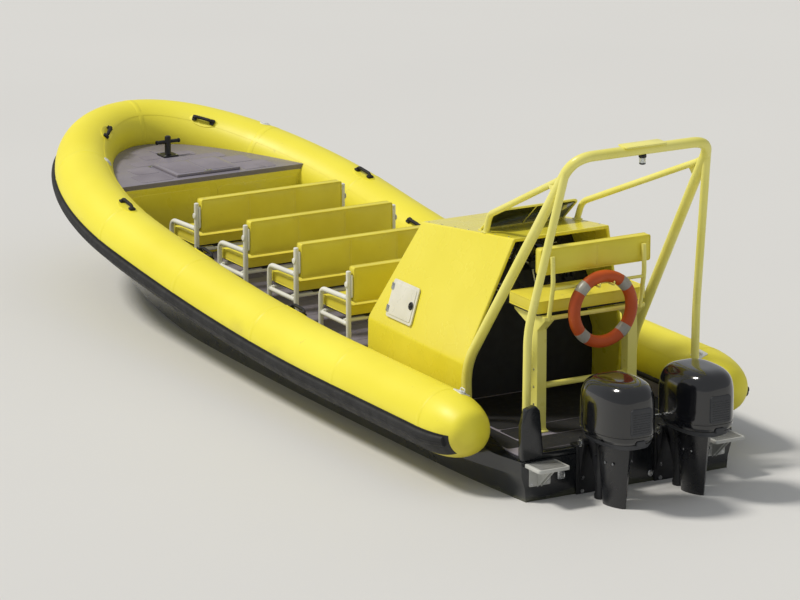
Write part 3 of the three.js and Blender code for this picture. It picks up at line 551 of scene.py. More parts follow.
def put(name, shape, finish_name, body=ROOT, slot=None, replaces=(), sharp=32.0, weighted=False):
    """Makes a shape or mesh a finished piece that rides on a body; its slot argument is not used."""
    mesh = welded(shape.mesh(name) if isinstance(shape, Shape) else shape, degenerate=True)
    mesh.name = name
    mesh.shade_smooth()
    mesh.set_sharp_from_angle(angle=radians(sharp))
    mesh.materials.clear()
    mesh.materials.append(FINISHES[finish_name])
    piece = linked(name, mesh)
    if weighted:
        keep_flats(piece)
    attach(piece, body)
    if replaces:
        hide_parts(*replaces)
    return piece


def loose(name, verts, edges):
    """A helper object of points and edges only."""
    mesh = bpy.data.meshes.new(name)
    mesh.from_pydata(verts, edges, [])
    return linked(name, mesh)


# Geometry node trees


TREES = {}


def new_tree(name, inputs):
    """An empty geometry tree with named inputs and a material."""
    tree = bpy.data.node_groups.new(name, "GeometryNodeTree")
    for label, kind in {"Geometry": "Geometry", **inputs, "Material": "Material"}.items():
        tree.interface.new_socket(label, in_out="INPUT", socket_type="NodeSocket" + kind)
    tree.interface.new_socket("Geometry", in_out="OUTPUT", socket_type="NodeSocketGeometry")
    TREES[name] = tree
    return tree, add_node(tree, "NodeGroupInput").outputs


def end_tree(tree, geometry, given):
    """Every tree ends in real geometry with its material."""
    real = add_node(tree, "GeometryNodeRealizeInstances", {"Geometry": geometry}).outputs[0]
    smooth = add_node(tree, "GeometryNodeSetShadeSmooth", {"Geometry": real}).outputs[0]
    painted = add_node(tree, "GeometryNodeSetMaterial", {"Geometry": smooth, "Material": given["Material"]}).outputs[0]
    add_node(tree, "NodeGroupOutput", {0: painted})


def build_sweep_tree():
    """A profile swept along a line of points, scaled point by point."""
    tree, given = new_tree("Sweep", {"Profile": "Object", "Level": "Bool", "Caps": "Bool"})
    curve = add_node(tree, "GeometryNodeMeshToCurve", {"Mesh": given["Geometry"]}).outputs[0]
    level = add_node(tree, "GeometryNodeSetCurveNormal", {"Curve": curve}, mode="Z_UP").outputs[0]
    chosen = add_node(tree, "GeometryNodeSwitch", {"Switch": given["Level"], "False": curve, "True": level},
                      input_type="GEOMETRY").outputs[0]
    held = add_node(tree, "GeometryNodeObjectInfo", {"Object": given["Profile"]}).outputs["Geometry"]
    profile = add_node(tree, "GeometryNodeMeshToCurve", {"Mesh": held}).outputs[0]
    scale = add_node(tree, "GeometryNodeInputNamedAttribute", {"Name": "sweep_scale"}, data_type="FLOAT").outputs[0]
    swept = add_node(tree, "GeometryNodeCurveToMesh", {
        "Curve": chosen, "Profile Curve": profile, "Scale": scale, "Fill Caps": given["Caps"]}).outputs[0]
    end_tree(tree, swept, given)


def build_fastener_tree():
    """A washer and a six-sided or domed head on each point, square to its outward direction."""
    tree, given = new_tree("Fasteners", {"Head Radius": "Float", "Head Height": "Float", "Sides": "Int", "Seed": "Int"})
    out = add_node(tree, "GeometryNodeInputNamedAttribute", {"Name": "out"}, data_type="FLOAT_VECTOR").outputs[0]
    square = add_node(tree, "FunctionNodeAlignRotationToVector", {"Vector": out}, axis="Z").outputs[0]
    spin = add_node(
        tree, "FunctionNodeRandomValue", {2: 0.0, 3: 1.05, "Seed": given["Seed"]}, data_type="FLOAT").outputs[1]
    about = add_node(tree, "FunctionNodeAxisAngleToRotation", {"Axis": (0, 0, 1), "Angle": spin}).outputs[0]
    turned = add_node(
        tree, "FunctionNodeRotateRotation", {"Rotation": square, "Rotate By": about}, rotation_space="LOCAL").outputs[0]
    wide = add_node(tree, "ShaderNodeMath", {0: given["Head Radius"], 1: 1.5}, operation="MULTIPLY").outputs[0]
    thin = add_node(tree, "ShaderNodeMath", {0: given["Head Height"], 1: 0.5}, operation="MULTIPLY").outputs[0]
    washer = add_node(tree, "GeometryNodeMeshCylinder", {"Vertices": 18, "Radius": wide, "Depth": thin}).outputs["Mesh"]
    slim = add_node(tree, "ShaderNodeMath", {0: given["Head Radius"], 1: 0.82}, operation="MULTIPLY").outputs[0]
    head = add_node(tree, "GeometryNodeMeshCone", {
        "Vertices": given["Sides"], "Radius Top": slim, "Radius Bottom": given["Head Radius"],
        "Depth": given["Head Height"]}).outputs["Mesh"]
    pair = add_node(tree, "GeometryNodeJoinGeometry")
    tree.links.new(washer, pair.inputs[0])
    tree.links.new(head, pair.inputs[0])
    placed = add_node(tree, "GeometryNodeInstanceOnPoints", {
        "Points": given["Geometry"], "Instance": pair.outputs[0], "Rotation": turned}).outputs[0]
    end_tree(tree, placed, given)


def build_stitch_tree():
    """Short stitches at an even pitch along a line."""
    tree, given = new_tree("Stitches", {"Pitch": "Float", "Length": "Float", "Radius": "Float"})
    curve = add_node(tree, "GeometryNodeMeshToCurve", {"Mesh": given["Geometry"]}).outputs[0]
    points = add_node(tree, "GeometryNodeCurveToPoints", {"Curve": curve, "Length": given["Pitch"]}, mode="LENGTH")
    thread = add_node(tree, "GeometryNodeMeshCylinder", {
        "Vertices": 6, "Radius": given["Radius"], "Depth": given["Length"]}).outputs["Mesh"]
    placed = add_node(tree, "GeometryNodeInstanceOnPoints", {
        "Points": points.outputs["Points"], "Instance": thread, "Rotation": points.outputs["Rotation"]}).outputs[0]
    end_tree(tree, placed, given)


def build_slat_tree():
    """A row of slats or buttons: a block repeated at a pitch along a direction."""
    tree, given = new_tree("Slats", {"Count": "Int", "Step": "Vector", "Size": "Vector", "Turn": "Vector"})
    block = add_node(tree, "GeometryNodeMeshCube", {"Size": given["Size"]}).outputs["Mesh"]
    row = add_node(
        tree, "GeometryNodeMeshLine", {"Count": given["Count"], "Offset": given["Step"]}, mode="OFFSET").outputs["Mesh"]
    turn = add_node(tree, "FunctionNodeEulerToRotation", {"Euler": given["Turn"]}).outputs[0]
    start = add_node(tree, "GeometryNodeInstanceOnPoints", {
        "Points": row, "Instance": block, "Rotation": turn}).outputs[0]
    placed = add_node(tree, "GeometryNodeInstanceOnPoints", {"Points": given["Geometry"], "Instance": start}).outputs[0]
    end_tree(tree, placed, given)


def grown(name, source, tree_name, finish_name, inputs, profile=None, **ride):
    """Runs a tree on a helper object, puts the plain mesh that comes out and removes the helpers."""
    tree = TREES[tree_name]
    sockets = {i.name: i.identifier for i in tree.interface.items_tree if i.in_out == "INPUT"}
    modifier = source.modifiers.new(tree_name, "NODES")
    modifier.node_group = tree
    for label, value in {**inputs, "Material": FINISHES[finish_name]}.items():
        modifier[sockets[label]] = value
    source.update_tag()
    mesh = evaluated(source)
    for helper in filter(None, (source, profile)):
        bpy.data.objects.remove(helper)
    return put(name, mesh, finish_name, **ride)


def swept(name, line, profile, finish_name, scales=None, closed=False, level=True, **ride):
    """A piece made by sweeping an (out, up) profile along a line of points."""
    count, sides = len(line), len(profile)
    edges = [(i, i + 1) for i in range(count - 1)] + ([(count - 1, 0)] if closed else [])
    path = loose(name + "_line", line, edges)
    scale = path.data.attributes.new("sweep_scale", "FLOAT", "POINT")
    scale.data.foreach_set("value", scales or [1.0] * count)
    shape = loose(name + "_profile", [(-a, -b, 0) for a, b in profile], [(i, (i + 1) % sides) for i in range(sides)])
    return grown(
        name, path, "Sweep", finish_name, {"Profile": shape, "Level": level, "Caps": not closed}, shape, **ride)


def disc(radius, sides):
    """A round profile."""
    return [polar(radius, a) for a in turns(sides)]


def fasteners(name, places, radius, height, sides=6, **ride):
    """Stainless bolt or screw heads at places, each a point and its outward direction."""
    points = loose(name + "_points", [p for p, _ in places], [])
    out = points.data.attributes.new("out", "FLOAT_VECTOR", "POINT")
    out.data.foreach_set("vector", [c for _, direction in places for c in direction])
    return grown(name, points, "Fasteners", "brushed_stainless",
                 {"Head Radius": radius, "Head Height": height, "Sides": sides, "Seed": 3}, **ride)


def stitched(name, lines, finish_name, pitch, length, radius, **ride):
    """Rows of stitches along several lines."""
    edges, start = [], 0
    for line in lines:
        edges += [(start + i, start + i + 1) for i in range(len(line) - 1)]
        start += len(line)
    source = loose(name + "_lines", [p for line in lines for p in line], edges)
    return grown(name, source, "Stitches", finish_name, {"Pitch": pitch, "Length": length, "Radius": radius}, **ride)


def slats(name, start, step, count, size, turn, finish_name, **ride):
    """A row of blocks from a starting point."""
    return grown(name, loose(name + "_start", [start], []), "Slats", finish_name,
                 {"Count": count, "Step": step, "Size": size, "Turn": turn}, **ride)


def bead(shape, place, axis, radius):
    """A weld bead round a tube where it meets another part."""
    rows = [(radius - 0.002, -0.005), (radius + 0.003, -0.002), (radius + 0.003, 0.002), (radius - 0.002, 0.005)]
    shape.turned(rows, place, axis, 16)


def foot_spots(x, y, z, reach_x, reach_y):
    """Bolts at the four corners of a foot plate, heads up."""
    return [((x + a, y + b, z), (0, 0, 1)) for a in (-reach_x, reach_x) for b in (-reach_y, reach_y)]


def set_sizes():
    """The sizes set in the sidebar."""
    return bpy.context.scene.boat_sizes


# Collar


def tube_height(x):
    """Height of the tube's centre, which rises along a power curve towards the bow."""
    along = min(max((x + COLLAR_HALF / 2) / (1.5 * COLLAR_HALF), 0.0), 1.0)
    return TUBE_LOW + TUBE_RISE * along ** 1.8


class CollarLine:
    """The tube's centre line, measured from the port stern round the bow to the starboard stern."""

    def __init__(self):
        side = [(-COLLAR_HALF + (BOW_START + COLLAR_HALF) * i / 40, TUBE_BEAM) for i in range(40)]
        for a in (pi / 2 * i / 60 for i in range(61)):
            side.append((BOW_START + BOW_LENGTH * sin(a), TUBE_BEAM * cos(a)))
        plan = both_halves(side)
        self.points = [Vector((x, y, tube_height(x))) for x, y in plan]
        self.reach = [0.0]
        for a, b in zip(plan, plan[1:]):
            self.reach.append(self.reach[-1] + dist(a, b))
        self.length = self.reach[-1]

    def at(self, s):
        """Place, heading and outward direction at a distance along the line."""
        s = min(max(s, 0.0), self.length)
        i = max(j for j, reach in enumerate(self.reach[:-1]) if reach <= s)
        a, b = self.points[i], self.points[i + 1]
        place = a.lerp(b, (s - self.reach[i]) / (self.reach[i + 1] - self.reach[i]))
        ahead = (b - a).normalized()
        return place, ahead, Vector((-ahead.y, ahead.x, 0)).normalized()

    def skin(self, s, angle, lift):
        """A point on the tube's surface, its angle measured up from outboard, raised by a lift."""
        place, ahead, out = self.at(s)
        up = out.cross(ahead)
        if up.z < 0:
            up = -up
        return place + (out * cos(angle) + up * sin(angle)) * (TUBE_R * self.scale(s) + lift)

    def scale(self, s):
        """How much the tube has narrowed: a blunt cone with a rounded nose at each stern."""
        near = min(s, self.length - s)
        cone = 0.3 + 0.7 * sqrt(1 - (1 - min(near / CONE, 1.0)) ** 2)
        nose = sqrt(max(1 - (1 - min(near / NOSE, 1.0)) ** 2, 0.003))
        return cone * nose

    def stations(self, step):
        """Distances for a sweep, close together at the noses."""
        near = [0.0, 0.001, 0.003, 0.007, 0.013, 0.02, 0.03, 0.042, 0.06, 0.085, 0.12, 0.16, 0.21, 0.27, 0.34, 0.42]
        count = round((self.length - 2 * CONE) / step)
        middle = [CONE + (self.length - 2 * CONE) * i / count for i in range(1, count)]
        return near + middle + [self.length - s for s in near[::-1]]


LINE = CollarLine()


def tube_sweep(name, profile, finish_name, stations, **ride):
    """A profile swept along part of the tube, narrowing with it."""
    line = [LINE.at(s)[0] for s in stations]
    return swept(name, line, profile, finish_name, [LINE.scale(s) for s in stations], **ride)


def arc_band(low, high, inner, outer, steps=6):
    """A thin band's profile on the tube, between two angles in degrees."""
    angles = [radians(low + (high - low) * i / steps) for i in range(steps + 1)]
    return [polar(outer, a) for a in angles] + [polar(inner, a) for a in angles[::-1]]


def patch_shape():
    """An oval doubler glued to the tube under a handle."""
    return Shape().prism([(0.14 * cos(a), 0.056 * sin(a)) for a in turns(40)], "z", -0.002, 0.004, 0.0015)


def handle_shape():
    """A moulded grab handle: two blocks and an arched, ribbed grip."""
    shape = Shape()
    for x in (-0.092, 0.092):
        shape.slab(x - 0.022, x + 0.022, -0.024, 0.024, 0.008, "z", 0.003, 0.02, 0.004)
    grip = [(-0.1, 0, 0.016), (-0.075, 0, 0.034), (0.075, 0, 0.034), (0.1, 0, 0.016)]
    shape.pipe(grip, 0.012, 0.03, 14, 5, dome=True)
    for i in range(-4, 5):
        shape.turned([(0.0122, -0.003), (0.0136, 0), (0.0122, 0.003)], (i * 0.015, 0, 0.034), (1, 0, 0), 14)
    return shape


def valve_shape():
    """An inflation valve: a dished disc with a knurled cap."""
    shape = Shape()
    shape.turned([(0.044, -0.002), (0.044, 0.003), (0.04, 0.005), (0.034, 0.005), (0.03, 0.002)], segments=36)
    shape.turned([(0.026, 0.001), (0.026, 0.008), (0.023, 0.011), (0.008, 0.012)], segments=24)
    for a in turns(12):
        shape.turned([(0.0028, 0.001), (0.0028, 0.009)], (*polar(0.0262, a), 0), segments=6)
    return shape


def lashing_shape():
    """A plate with a boss and a staple to lash to."""
    shape = Shape().slab(-0.06, 0.06, -0.045, 0.045, 0.015, "z", -0.004, 0.006, 0.002)
    shape.turned([(0.024, 0.004), (0.024, 0.012), (0.02, 0.014), (0.012, 0.014), (0.012, 0.009)], segments=24)
    return shape.pipe([(-0.028, 0, 0.005), (-0.028, 0, 0.03), (0.028, 0, 0.03), (0.028, 0, 0.005)], 0.0045, 0.02, 10)


def on_tube(name, make, finish_name, places):
    """A flat shape (along, around, out) bent onto the tube at each distance and angle."""
    whole = Shape()
    for s, angle in places:
        whole.take(make().mapped(lambda p: LINE.skin(s + p.x, radians(angle) + p.y / TUBE_R, p.z)))
    put(name, whole, finish_name)


class BOAT_OT_collar(bpy.types.Operator):
    """The inflated tube with its seams, rubbing strake, handles and valves"""

    bl_idname = "boat.collar"
    bl_label = "Tube Collar"

    def execute(self, context):
        sizes = set_sizes()
        fabric, rubber = "rubber_coated_tube_fabric", "extruded_black_rubber"
        whole, length = LINE.stations(0.06), LINE.length
        tube_sweep("collar_tube", disc(TUBE_R, 72), fabric, whole, replaces=["collar"])
        # Ring seams: a taped lap at an even pitch, each a short band of its own
        gores = round((length - 2 * CONE) / sizes.seam_pitch)
        half, proud, sunk = sizes.seam_width / 2, sizes.seam_proud, -0.001 * TUBE_R
        lap = ((-half, sunk), (-half + 0.003, proud), (0, proud), (half - 0.003, proud), (half, sunk))
        bands = Shape()
        for middle in (CONE + (length - 2 * CONE) / gores * i for i in range(gores + 1)):
            bands.loft([tube_ring(middle + offset, lift) for offset, lift in lap])
        put("collar_ring_seams", bands, fabric)
        along = [s for s in whole if CONE < s < length - CONE]
        for label, low, high in (("top", 134, 141), ("low", 196, 204)):
            tube_sweep(f"collar_{label}_seam", arc_band(low, high, TUBE_R - 0.002, TUBE_R + proud), fabric, along)
        # Rubbing strake: a hollow-faced D section on a black strip behind it that runs on down under the tube; below
        # the strake that strip is painted shade of the tube's underside
        middle, band = degrees(STRAKE_ANGLE), degrees(STRAKE_HALF)
        backing_and_shade_band = arc_band(middle - band * 3.6, middle + band * 1.35, TUBE_R - 0.002, TUBE_R + 0.004, 16)
        tube_sweep("strake_backing", backing_and_shade_band, rubber, whole[9:-9])
        rows = [(1.0, 0.002), (1.0, 0.012), (0.9, 0.022), (0.72, 0.0295), (0.45, 0.0335), (0.2, 0.035), (0.12, 0.0315)]
        profile = [polar(TUBE_R + r, radians(middle + band * t)) for t, r in [(-t, r) for t, r in rows] + rows[::-1]]
        tube_sweep("rubbing_strake", profile, rubber, whole[10:-10], replaces=["rub_strake"], sharp=40)
        port = ((2.9, 128), (4.4, 128), (5.48, 92), (7.28, 134))
        handles = [(at, angle) for s, angle in port for at in (s, length - s)]
        on_tube("handle_patches", patch_shape, fabric, handles)
        on_tube("collar_handles", handle_shape, rubber, handles)
        valves = ((1.1, 150), (6.67, 140), (9.13, 78), (length - 1.1, 150))
        on_tube("inflation_valves", valve_shape, "white_powder_coat", valves)
        on_tube("stern_lashing_plates", lashing_shape, "white_powder_coat", ((0.34, 112), (length - 0.34, 112)))
        return {"FINISHED"}


# Hull


HULL_STATIONS = [
    (-4.16, -0.43, 0.86, -0.07, 0.89), (-3.3, -0.435, 0.875, -0.065, 1.03), (-2.0, -0.44, 0.88, -0.055, 1.05),
    (-0.5, -0.44, 0.875, -0.04, 1.05), (0.7, -0.435, 0.855, 0.0, 1.05), (1.5, -0.415, 0.815, 0.06, 1.045),
    (2.1, -0.36, 0.745, 0.14, 0.985), (2.6, -0.25, 0.645, 0.245, 0.865), (3.0, -0.08, 0.51, 0.37, 0.69),
    (3.3, 0.16, 0.345, 0.51, 0.48), (3.48, 0.42, 0.19, 0.64, 0.28), (3.57, 0.68, 0.05, 0.745, 0.09),
]
SHELF_DROP = 0.27
DECK_Z = 0.9297
FOREDECK_AFT = 2.15
WELL_INSET = 0.265


def hull_top(x):
    """Height of the hull's side, which falls away at the stern."""
    along = min(max((x + COLLAR_HALF) / 0.475, 0.0), 1.0)
    return min(0.3 + (tube_height(x) - 0.04 - 0.3) * along, DECK_Z)


def hull_ring(station):
    """A section of the V hull with two spray rails a side and a flat along the chine."""
    x, keel, chine_y, chine_z, shelf_y = station
    fade = min(max((3.45 - x) / 0.9, 0.02), 1.0)
    flat = 0.05 * fade * min(chine_y / 0.4, 1)
    knee = chine_y - flat

    def panel(share):
        return knee * share, keel + (chine_z - keel) * share

    side = [(0.012 * fade, keel + 0.001)]
    for share in (0.36, 0.68):
        wide = 0.045 * fade / max(knee, 0.2)
        (y0, z0), (y1, z1) = panel(share - wide), panel(share)
        side += [(y0, z0), (y1, z0 - 0.003 * fade), (y1 + 0.002, z1)]
    side += [(knee, chine_z), (chine_y, chine_z - 0.006 * fade)]
    shelf_z = max(tube_height(x) - SHELF_DROP, chine_z + 0.01)
    for share in (0.3, 0.65):
        bow_in = 0.02 * sin(pi * share) * fade
        y = chine_y + (shelf_y - chine_y) * share - bow_in
        side.append((y, chine_z + (shelf_z - chine_z) * share))
    side += [(shelf_y, shelf_z), (shelf_y, max(hull_top(x), chine_z + 0.02))]
    return [Vector((x, y, z)) for z, y in both_halves([(z, y) for y, z in side])]


def inset_outline(inset, stern_x, bow_x):
    """Plan of the space inside the tubes, square across both ends."""
    side = []
    for i in range(200):
        place, _, out = LINE.at(LINE.length / 2 * i / 199)
        point = place - out * inset
        if stern_x < point.x < bow_x and point.y > 0.02:
            side.append((point.x, point.y))
    return both_halves([(stern_x, side[0][1])] + side + [(bow_x, side[-1][1])])


def cut(mesh, cutters):
    """Takes solids away from a mesh."""
    host = linked("host", mesh)
    tools = [linked("tool", cutter) for cutter in cutters]
    for tool in tools:
        modifier = host.modifiers.new("cut", "BOOLEAN")
        modifier.solver = "EXACT"
        modifier.object = tool
    made = evaluated(host)
    for helper in (host, *tools):
        bpy.data.objects.remove(helper)
    return made


def tube_ring(s, lift):
    """A ring on the tube's skin, raised by a lift."""
    return [LINE.skin(s, a, lift) for a in turns(72)]


class BOAT_OT_hull(bpy.types.Operator):
    """The V hull, its inner liner, capping, stern and keel fittings"""

    bl_idname = "boat.hull"
    bl_label = "Hull"

    def execute(self, context):
        rows = spline(HULL_STATIONS, 8)
        body = Shape().loft([hull_ring(row) for row in rows])
        body.slab(-0.08, 0.08, 0.11, 0.27, 0.012, "x", TRANSOM_X - 0.008, TRANSOM_X + 0.004)
        well = Shape().prism(inset_outline(WELL_INSET, -4.4, 2.75), "z", 0.3, 1.5)
        stern = Shape().block((-4.26, -1.2, 0.3), (-4.0997, 1.2, 1.5))
        tube = Shape().loft([tube_ring(s, 0.0004) for s in LINE.stations(0.06)])
        body, *tools = (welded(solid.mesh("solid")) for solid in (body, well, stern, tube))
        put("hull_shell", cut(body, tools), "dark_gelcoat_laminate", replaces=["hull"], sharp=22)
        liner, capping = Shape(), Shape()
        for sign in (1, -1):
            rings, trim = [], []
            for i in range(70):
                place, _, out = LINE.at(0.35 + 6.01 * i / 69)
                top = hull_top(place.x)
                outer, inner, middle = (place - out * (WELL_INSET + gap) for gap in (0.0005, 0.0045, -0.012))
                wall = ((outer, 0.3128), (outer, top - 0.002), (inner, top - 0.002), (inner, 0.3128))
                rings.append([Vector((p.x, p.y * sign, z)) for p, z in wall])
                trim.append(Vector((middle.x, middle.y * sign, top + 0.001)))
            liner.loft(rings)
            capping.pipe(trim, 0.019, sides=12, dome=True)
        put("inner_liner", liner, "grey_liner_gelcoat")
        put("gunwale_capping", capping, "extruded_black_rubber")
        put("transom_board", cad_shape("transom", 0.012, 3), "dark_gelcoat_laminate", replaces=["transom"])
        # Stern and keel fittings
        steel = Shape()
        near, far = TRANSOM_X - 0.002, TRANSOM_X - 0.045
        for sign in (1, -1):
            y = sign * 0.56
            steel.slab(y - 0.03, y + 0.03, 0.13, 0.21, 0.01, "x", TRANSOM_X - 0.005, TRANSOM_X + 0.002, 0.0015)
            steel.pipe([(near, y, 0.19), (far, y, 0.19), (far, y, 0.15), (near, y, 0.15)], 0.006, 0.018, 12)
            drain = [(0.026, -0.001), (0.026, 0.004), (0.022, 0.006), (0.014, 0.006), (0.013, 0.002)]
            steel.turned(drain, (TRANSOM_X, sign * 0.2, 0.06), (-1, 0, 0), 24)
        keel = [Vector((row[0], 0, row[1] - 0.001)) for row in rows if row[0] > 0.9][:-3]
        steel.pipe(keel, 0.009, sides=12, dome=True)
        steel.pipe([(3.47, 0, 0.41), (3.52, 0, 0.415), (3.515, 0, 0.47), (3.48, 0, 0.48)], 0.008, 0.022, 12)
        put("hull_fittings", steel, "brushed_stainless")
        return {"FINISHED"}


# Deck


def grip_pads(name, finish_name, z, rows, body=ROOT):
    """Thin panels with round corners; one off the middle has a mirror image."""
    pads = Shape()
    for x0, x1, y0, y1 in rows:
        for low, high in ((y0, y1), (-y1, -y0))[:1 + (y0 > 0)]:
            pads.prism(rounded_rectangle(x0, x1, low, high, 0.03, 6), "z", z - 0.0005, z + 0.002, 0.0008, 1)
    put(name, pads, finish_name, body)


class BOAT_OT_deck(bpy.types.Operator):
    """The sole, foredeck, hatch lid and mooring post"""

    bl_idname = "boat.deck"
    bl_label = "Deck"

    def execute(self, context):
        liner, grit, steel_finish = "grey_liner_gelcoat", "sanded_deck_coating", "brushed_stainless"
        put("sole_panel", cad_shape("sole", 0.003), liner, replaces=["sole"])
        rows = sorted(BENCHES.values())
        grips = [(x - 0.33, x - 0.06, 0.01, 0.6) for x in rows[1:]] + [(x + 0.07, x + 0.36, 0.01, 0.6) for x in rows]
        grip_pads("sole_grip_panels", grit, SOLE_TOP, grips + [(1.7, 1.9, 0.01, 0.57), (1.92, 2.12, 0.01, 0.57)])
        # Rubber mats round the helm bench and between the arch's feet; their black is painted shade over the aft sole
        grip_pads("helm_rubber_mats", "extruded_black_rubber", SOLE_TOP, [
            (-4.08, -3.985, -0.8, 0.8), (-3.975, -3.7, -0.64, 0.64), (-3.69, -3.43, -0.32, 0.32),
            (-3.42, -2.65, -0.63, 0.63), (-3.69, -3.43, 0.45, 0.64), (-3.86, -3.16, 0.655, 0.82)])
        put("foredeck_plate", cad_shape("foredeck", 0.003), liner, replaces=["foredeck"])
        # The locker's aft face, a moulded panel with two raised fields
        wide = abs(inset_outline(WELL_INSET, 0.0, FOREDECK_AFT)[-1][1]) - 0.012
        face = Shape().slab(-wide, wide, 0.318, 0.922, 0.03, "x", FOREDECK_AFT - 0.004, FOREDECK_AFT + 0.002, 0.0015)
        for y0, y1 in ((-wide + 0.05, -0.03), (0.03, wide - 0.05)):
            face.slab(y0, y1, 0.37, 0.87, 0.05, "x", FOREDECK_AFT - 0.009, FOREDECK_AFT - 0.002, 0.003, 3)
        put("foredeck_locker_face", face, "yellow_gelcoat")
        grip_pads("foredeck_grip_panels", grit, FOREDECK_TOP - 0.0003, [
            (2.2, 2.44, 0.33, 0.62), (2.46, 2.68, 0.33, 0.54), (2.71, 2.87, 0.1, 0.42), (2.89, 3.04, 0.09, 0.24)])
        # Hatch lid
        body = "foredeck_lid"
        put("hatch_lid", cad_shape(body, 0.006, 3), liner, body, replaces=[body])
        top = FOREDECK_TOP + 0.024
        grip_pads("hatch_lid_grip", grit, top, [(2.262, 2.638, 0.01, 0.26)], body)
        steel = Shape().slab(2.232, 2.252, -0.035, 0.035, 0.006, "z", top - 0.001, top + 0.003, 0.001)
        staple = [(2.242, y, top + z) for y, z in ((-0.024, 0.002), (-0.024, 0.007), (0.024, 0.007), (0.024, 0.002))]
        steel.pipe(staple, 0.0022, 0.004, 10)
        put("hatch_lid_fittings", steel, steel_finish, body)
        # The lid turns on two pins at the deck's level, each held by an ear beside the lid
        hinge, x, z = Shape(), 2.672, FOREDECK_TOP
        low = z - 0.0003
        ear = [(x + u, low + v) for u, v in (polar(0.014, pi * i / 16) for i in range(17))]
        for sign in (1, -1):
            hinge.prism(ear, "y", *sorted((sign * 0.2975, sign * 0.3035)), 0.0008)
            y0, y1 = sorted((sign * 0.303, sign * 0.326))
            hinge.slab(x - 0.017, x + 0.017, y0, y1, 0.004, "z", low, z + 0.0027, 0.0008)
            hinge.turned([(0.006, 0), (0.006, 0.002), (0.0042, 0.0036)], (x, sign * 0.3032, z), (0, sign, 0), 20)
            hinge.turned([(0.0036, 0), (0.0036, 0.005)], (x, sign * 0.2928, z), (0, sign, 0), 12)
        put("hatch_hinges", hinge, steel_finish)
        # Mooring post
        x = 2.96
        post = Shape().slab(x - 0.07, x + 0.07, -0.07, 0.07, 0.012, "z", z, z + 0.012, 0.003)
        post.turned([(0.03, 0.011), (0.0262, 0.018), (0.026, 0.155), (0.0235, 0.164), (0.016, 0.169), (0.005, 0.17)],
                    (x, 0, z))
        post.pipe([(x, -0.11, z + 0.12), (x, 0.11, z + 0.12)], 0.0145, sides=20)
        for sign in (1, -1):
            post.turned([(0.0145, -0.008), (0.0185, -0.006), (0.0185, 0.004), (0.012, 0.008)],
                        (x, sign * 0.102, z + 0.12), (0, sign, 0), 24)
        bead(post, (x, 0, z + 0.013), (0, 0, 1), 0.027)
        put("mooring_bollard", post, "black_powder_coat", replaces=["mooring_post"])
        fasteners("bollard_bolts", foot_spots(x, 0, z + 0.012, 0.052, 0.052), 0.007, 0.005)
        return {"FINISHED"}


# Cushions


def pad_steps(half, corner, size):
    """Grid positions along a pad, closer together over its round corners."""
    flat = half - corner
    count = max(2, round(2 * flat / size))
    inner = [-flat + 2 * flat * i / count for i in range(count + 1)]
    edge = [corner * t for t in (0.268, 0.577, 1.0)]
    return [-flat - e for e in edge[::-1]] + inner + [flat + e for e in edge]


def pad_point(p, half, corner):
    """A box's point moved onto its rounded form, and the direction out of it."""
    q = Vector([min(max(c, -(h - corner)), h - corner) for c, h in zip(p, half)])
    out = (Vector(p) - q).normalized()
    return q + out * corner, out


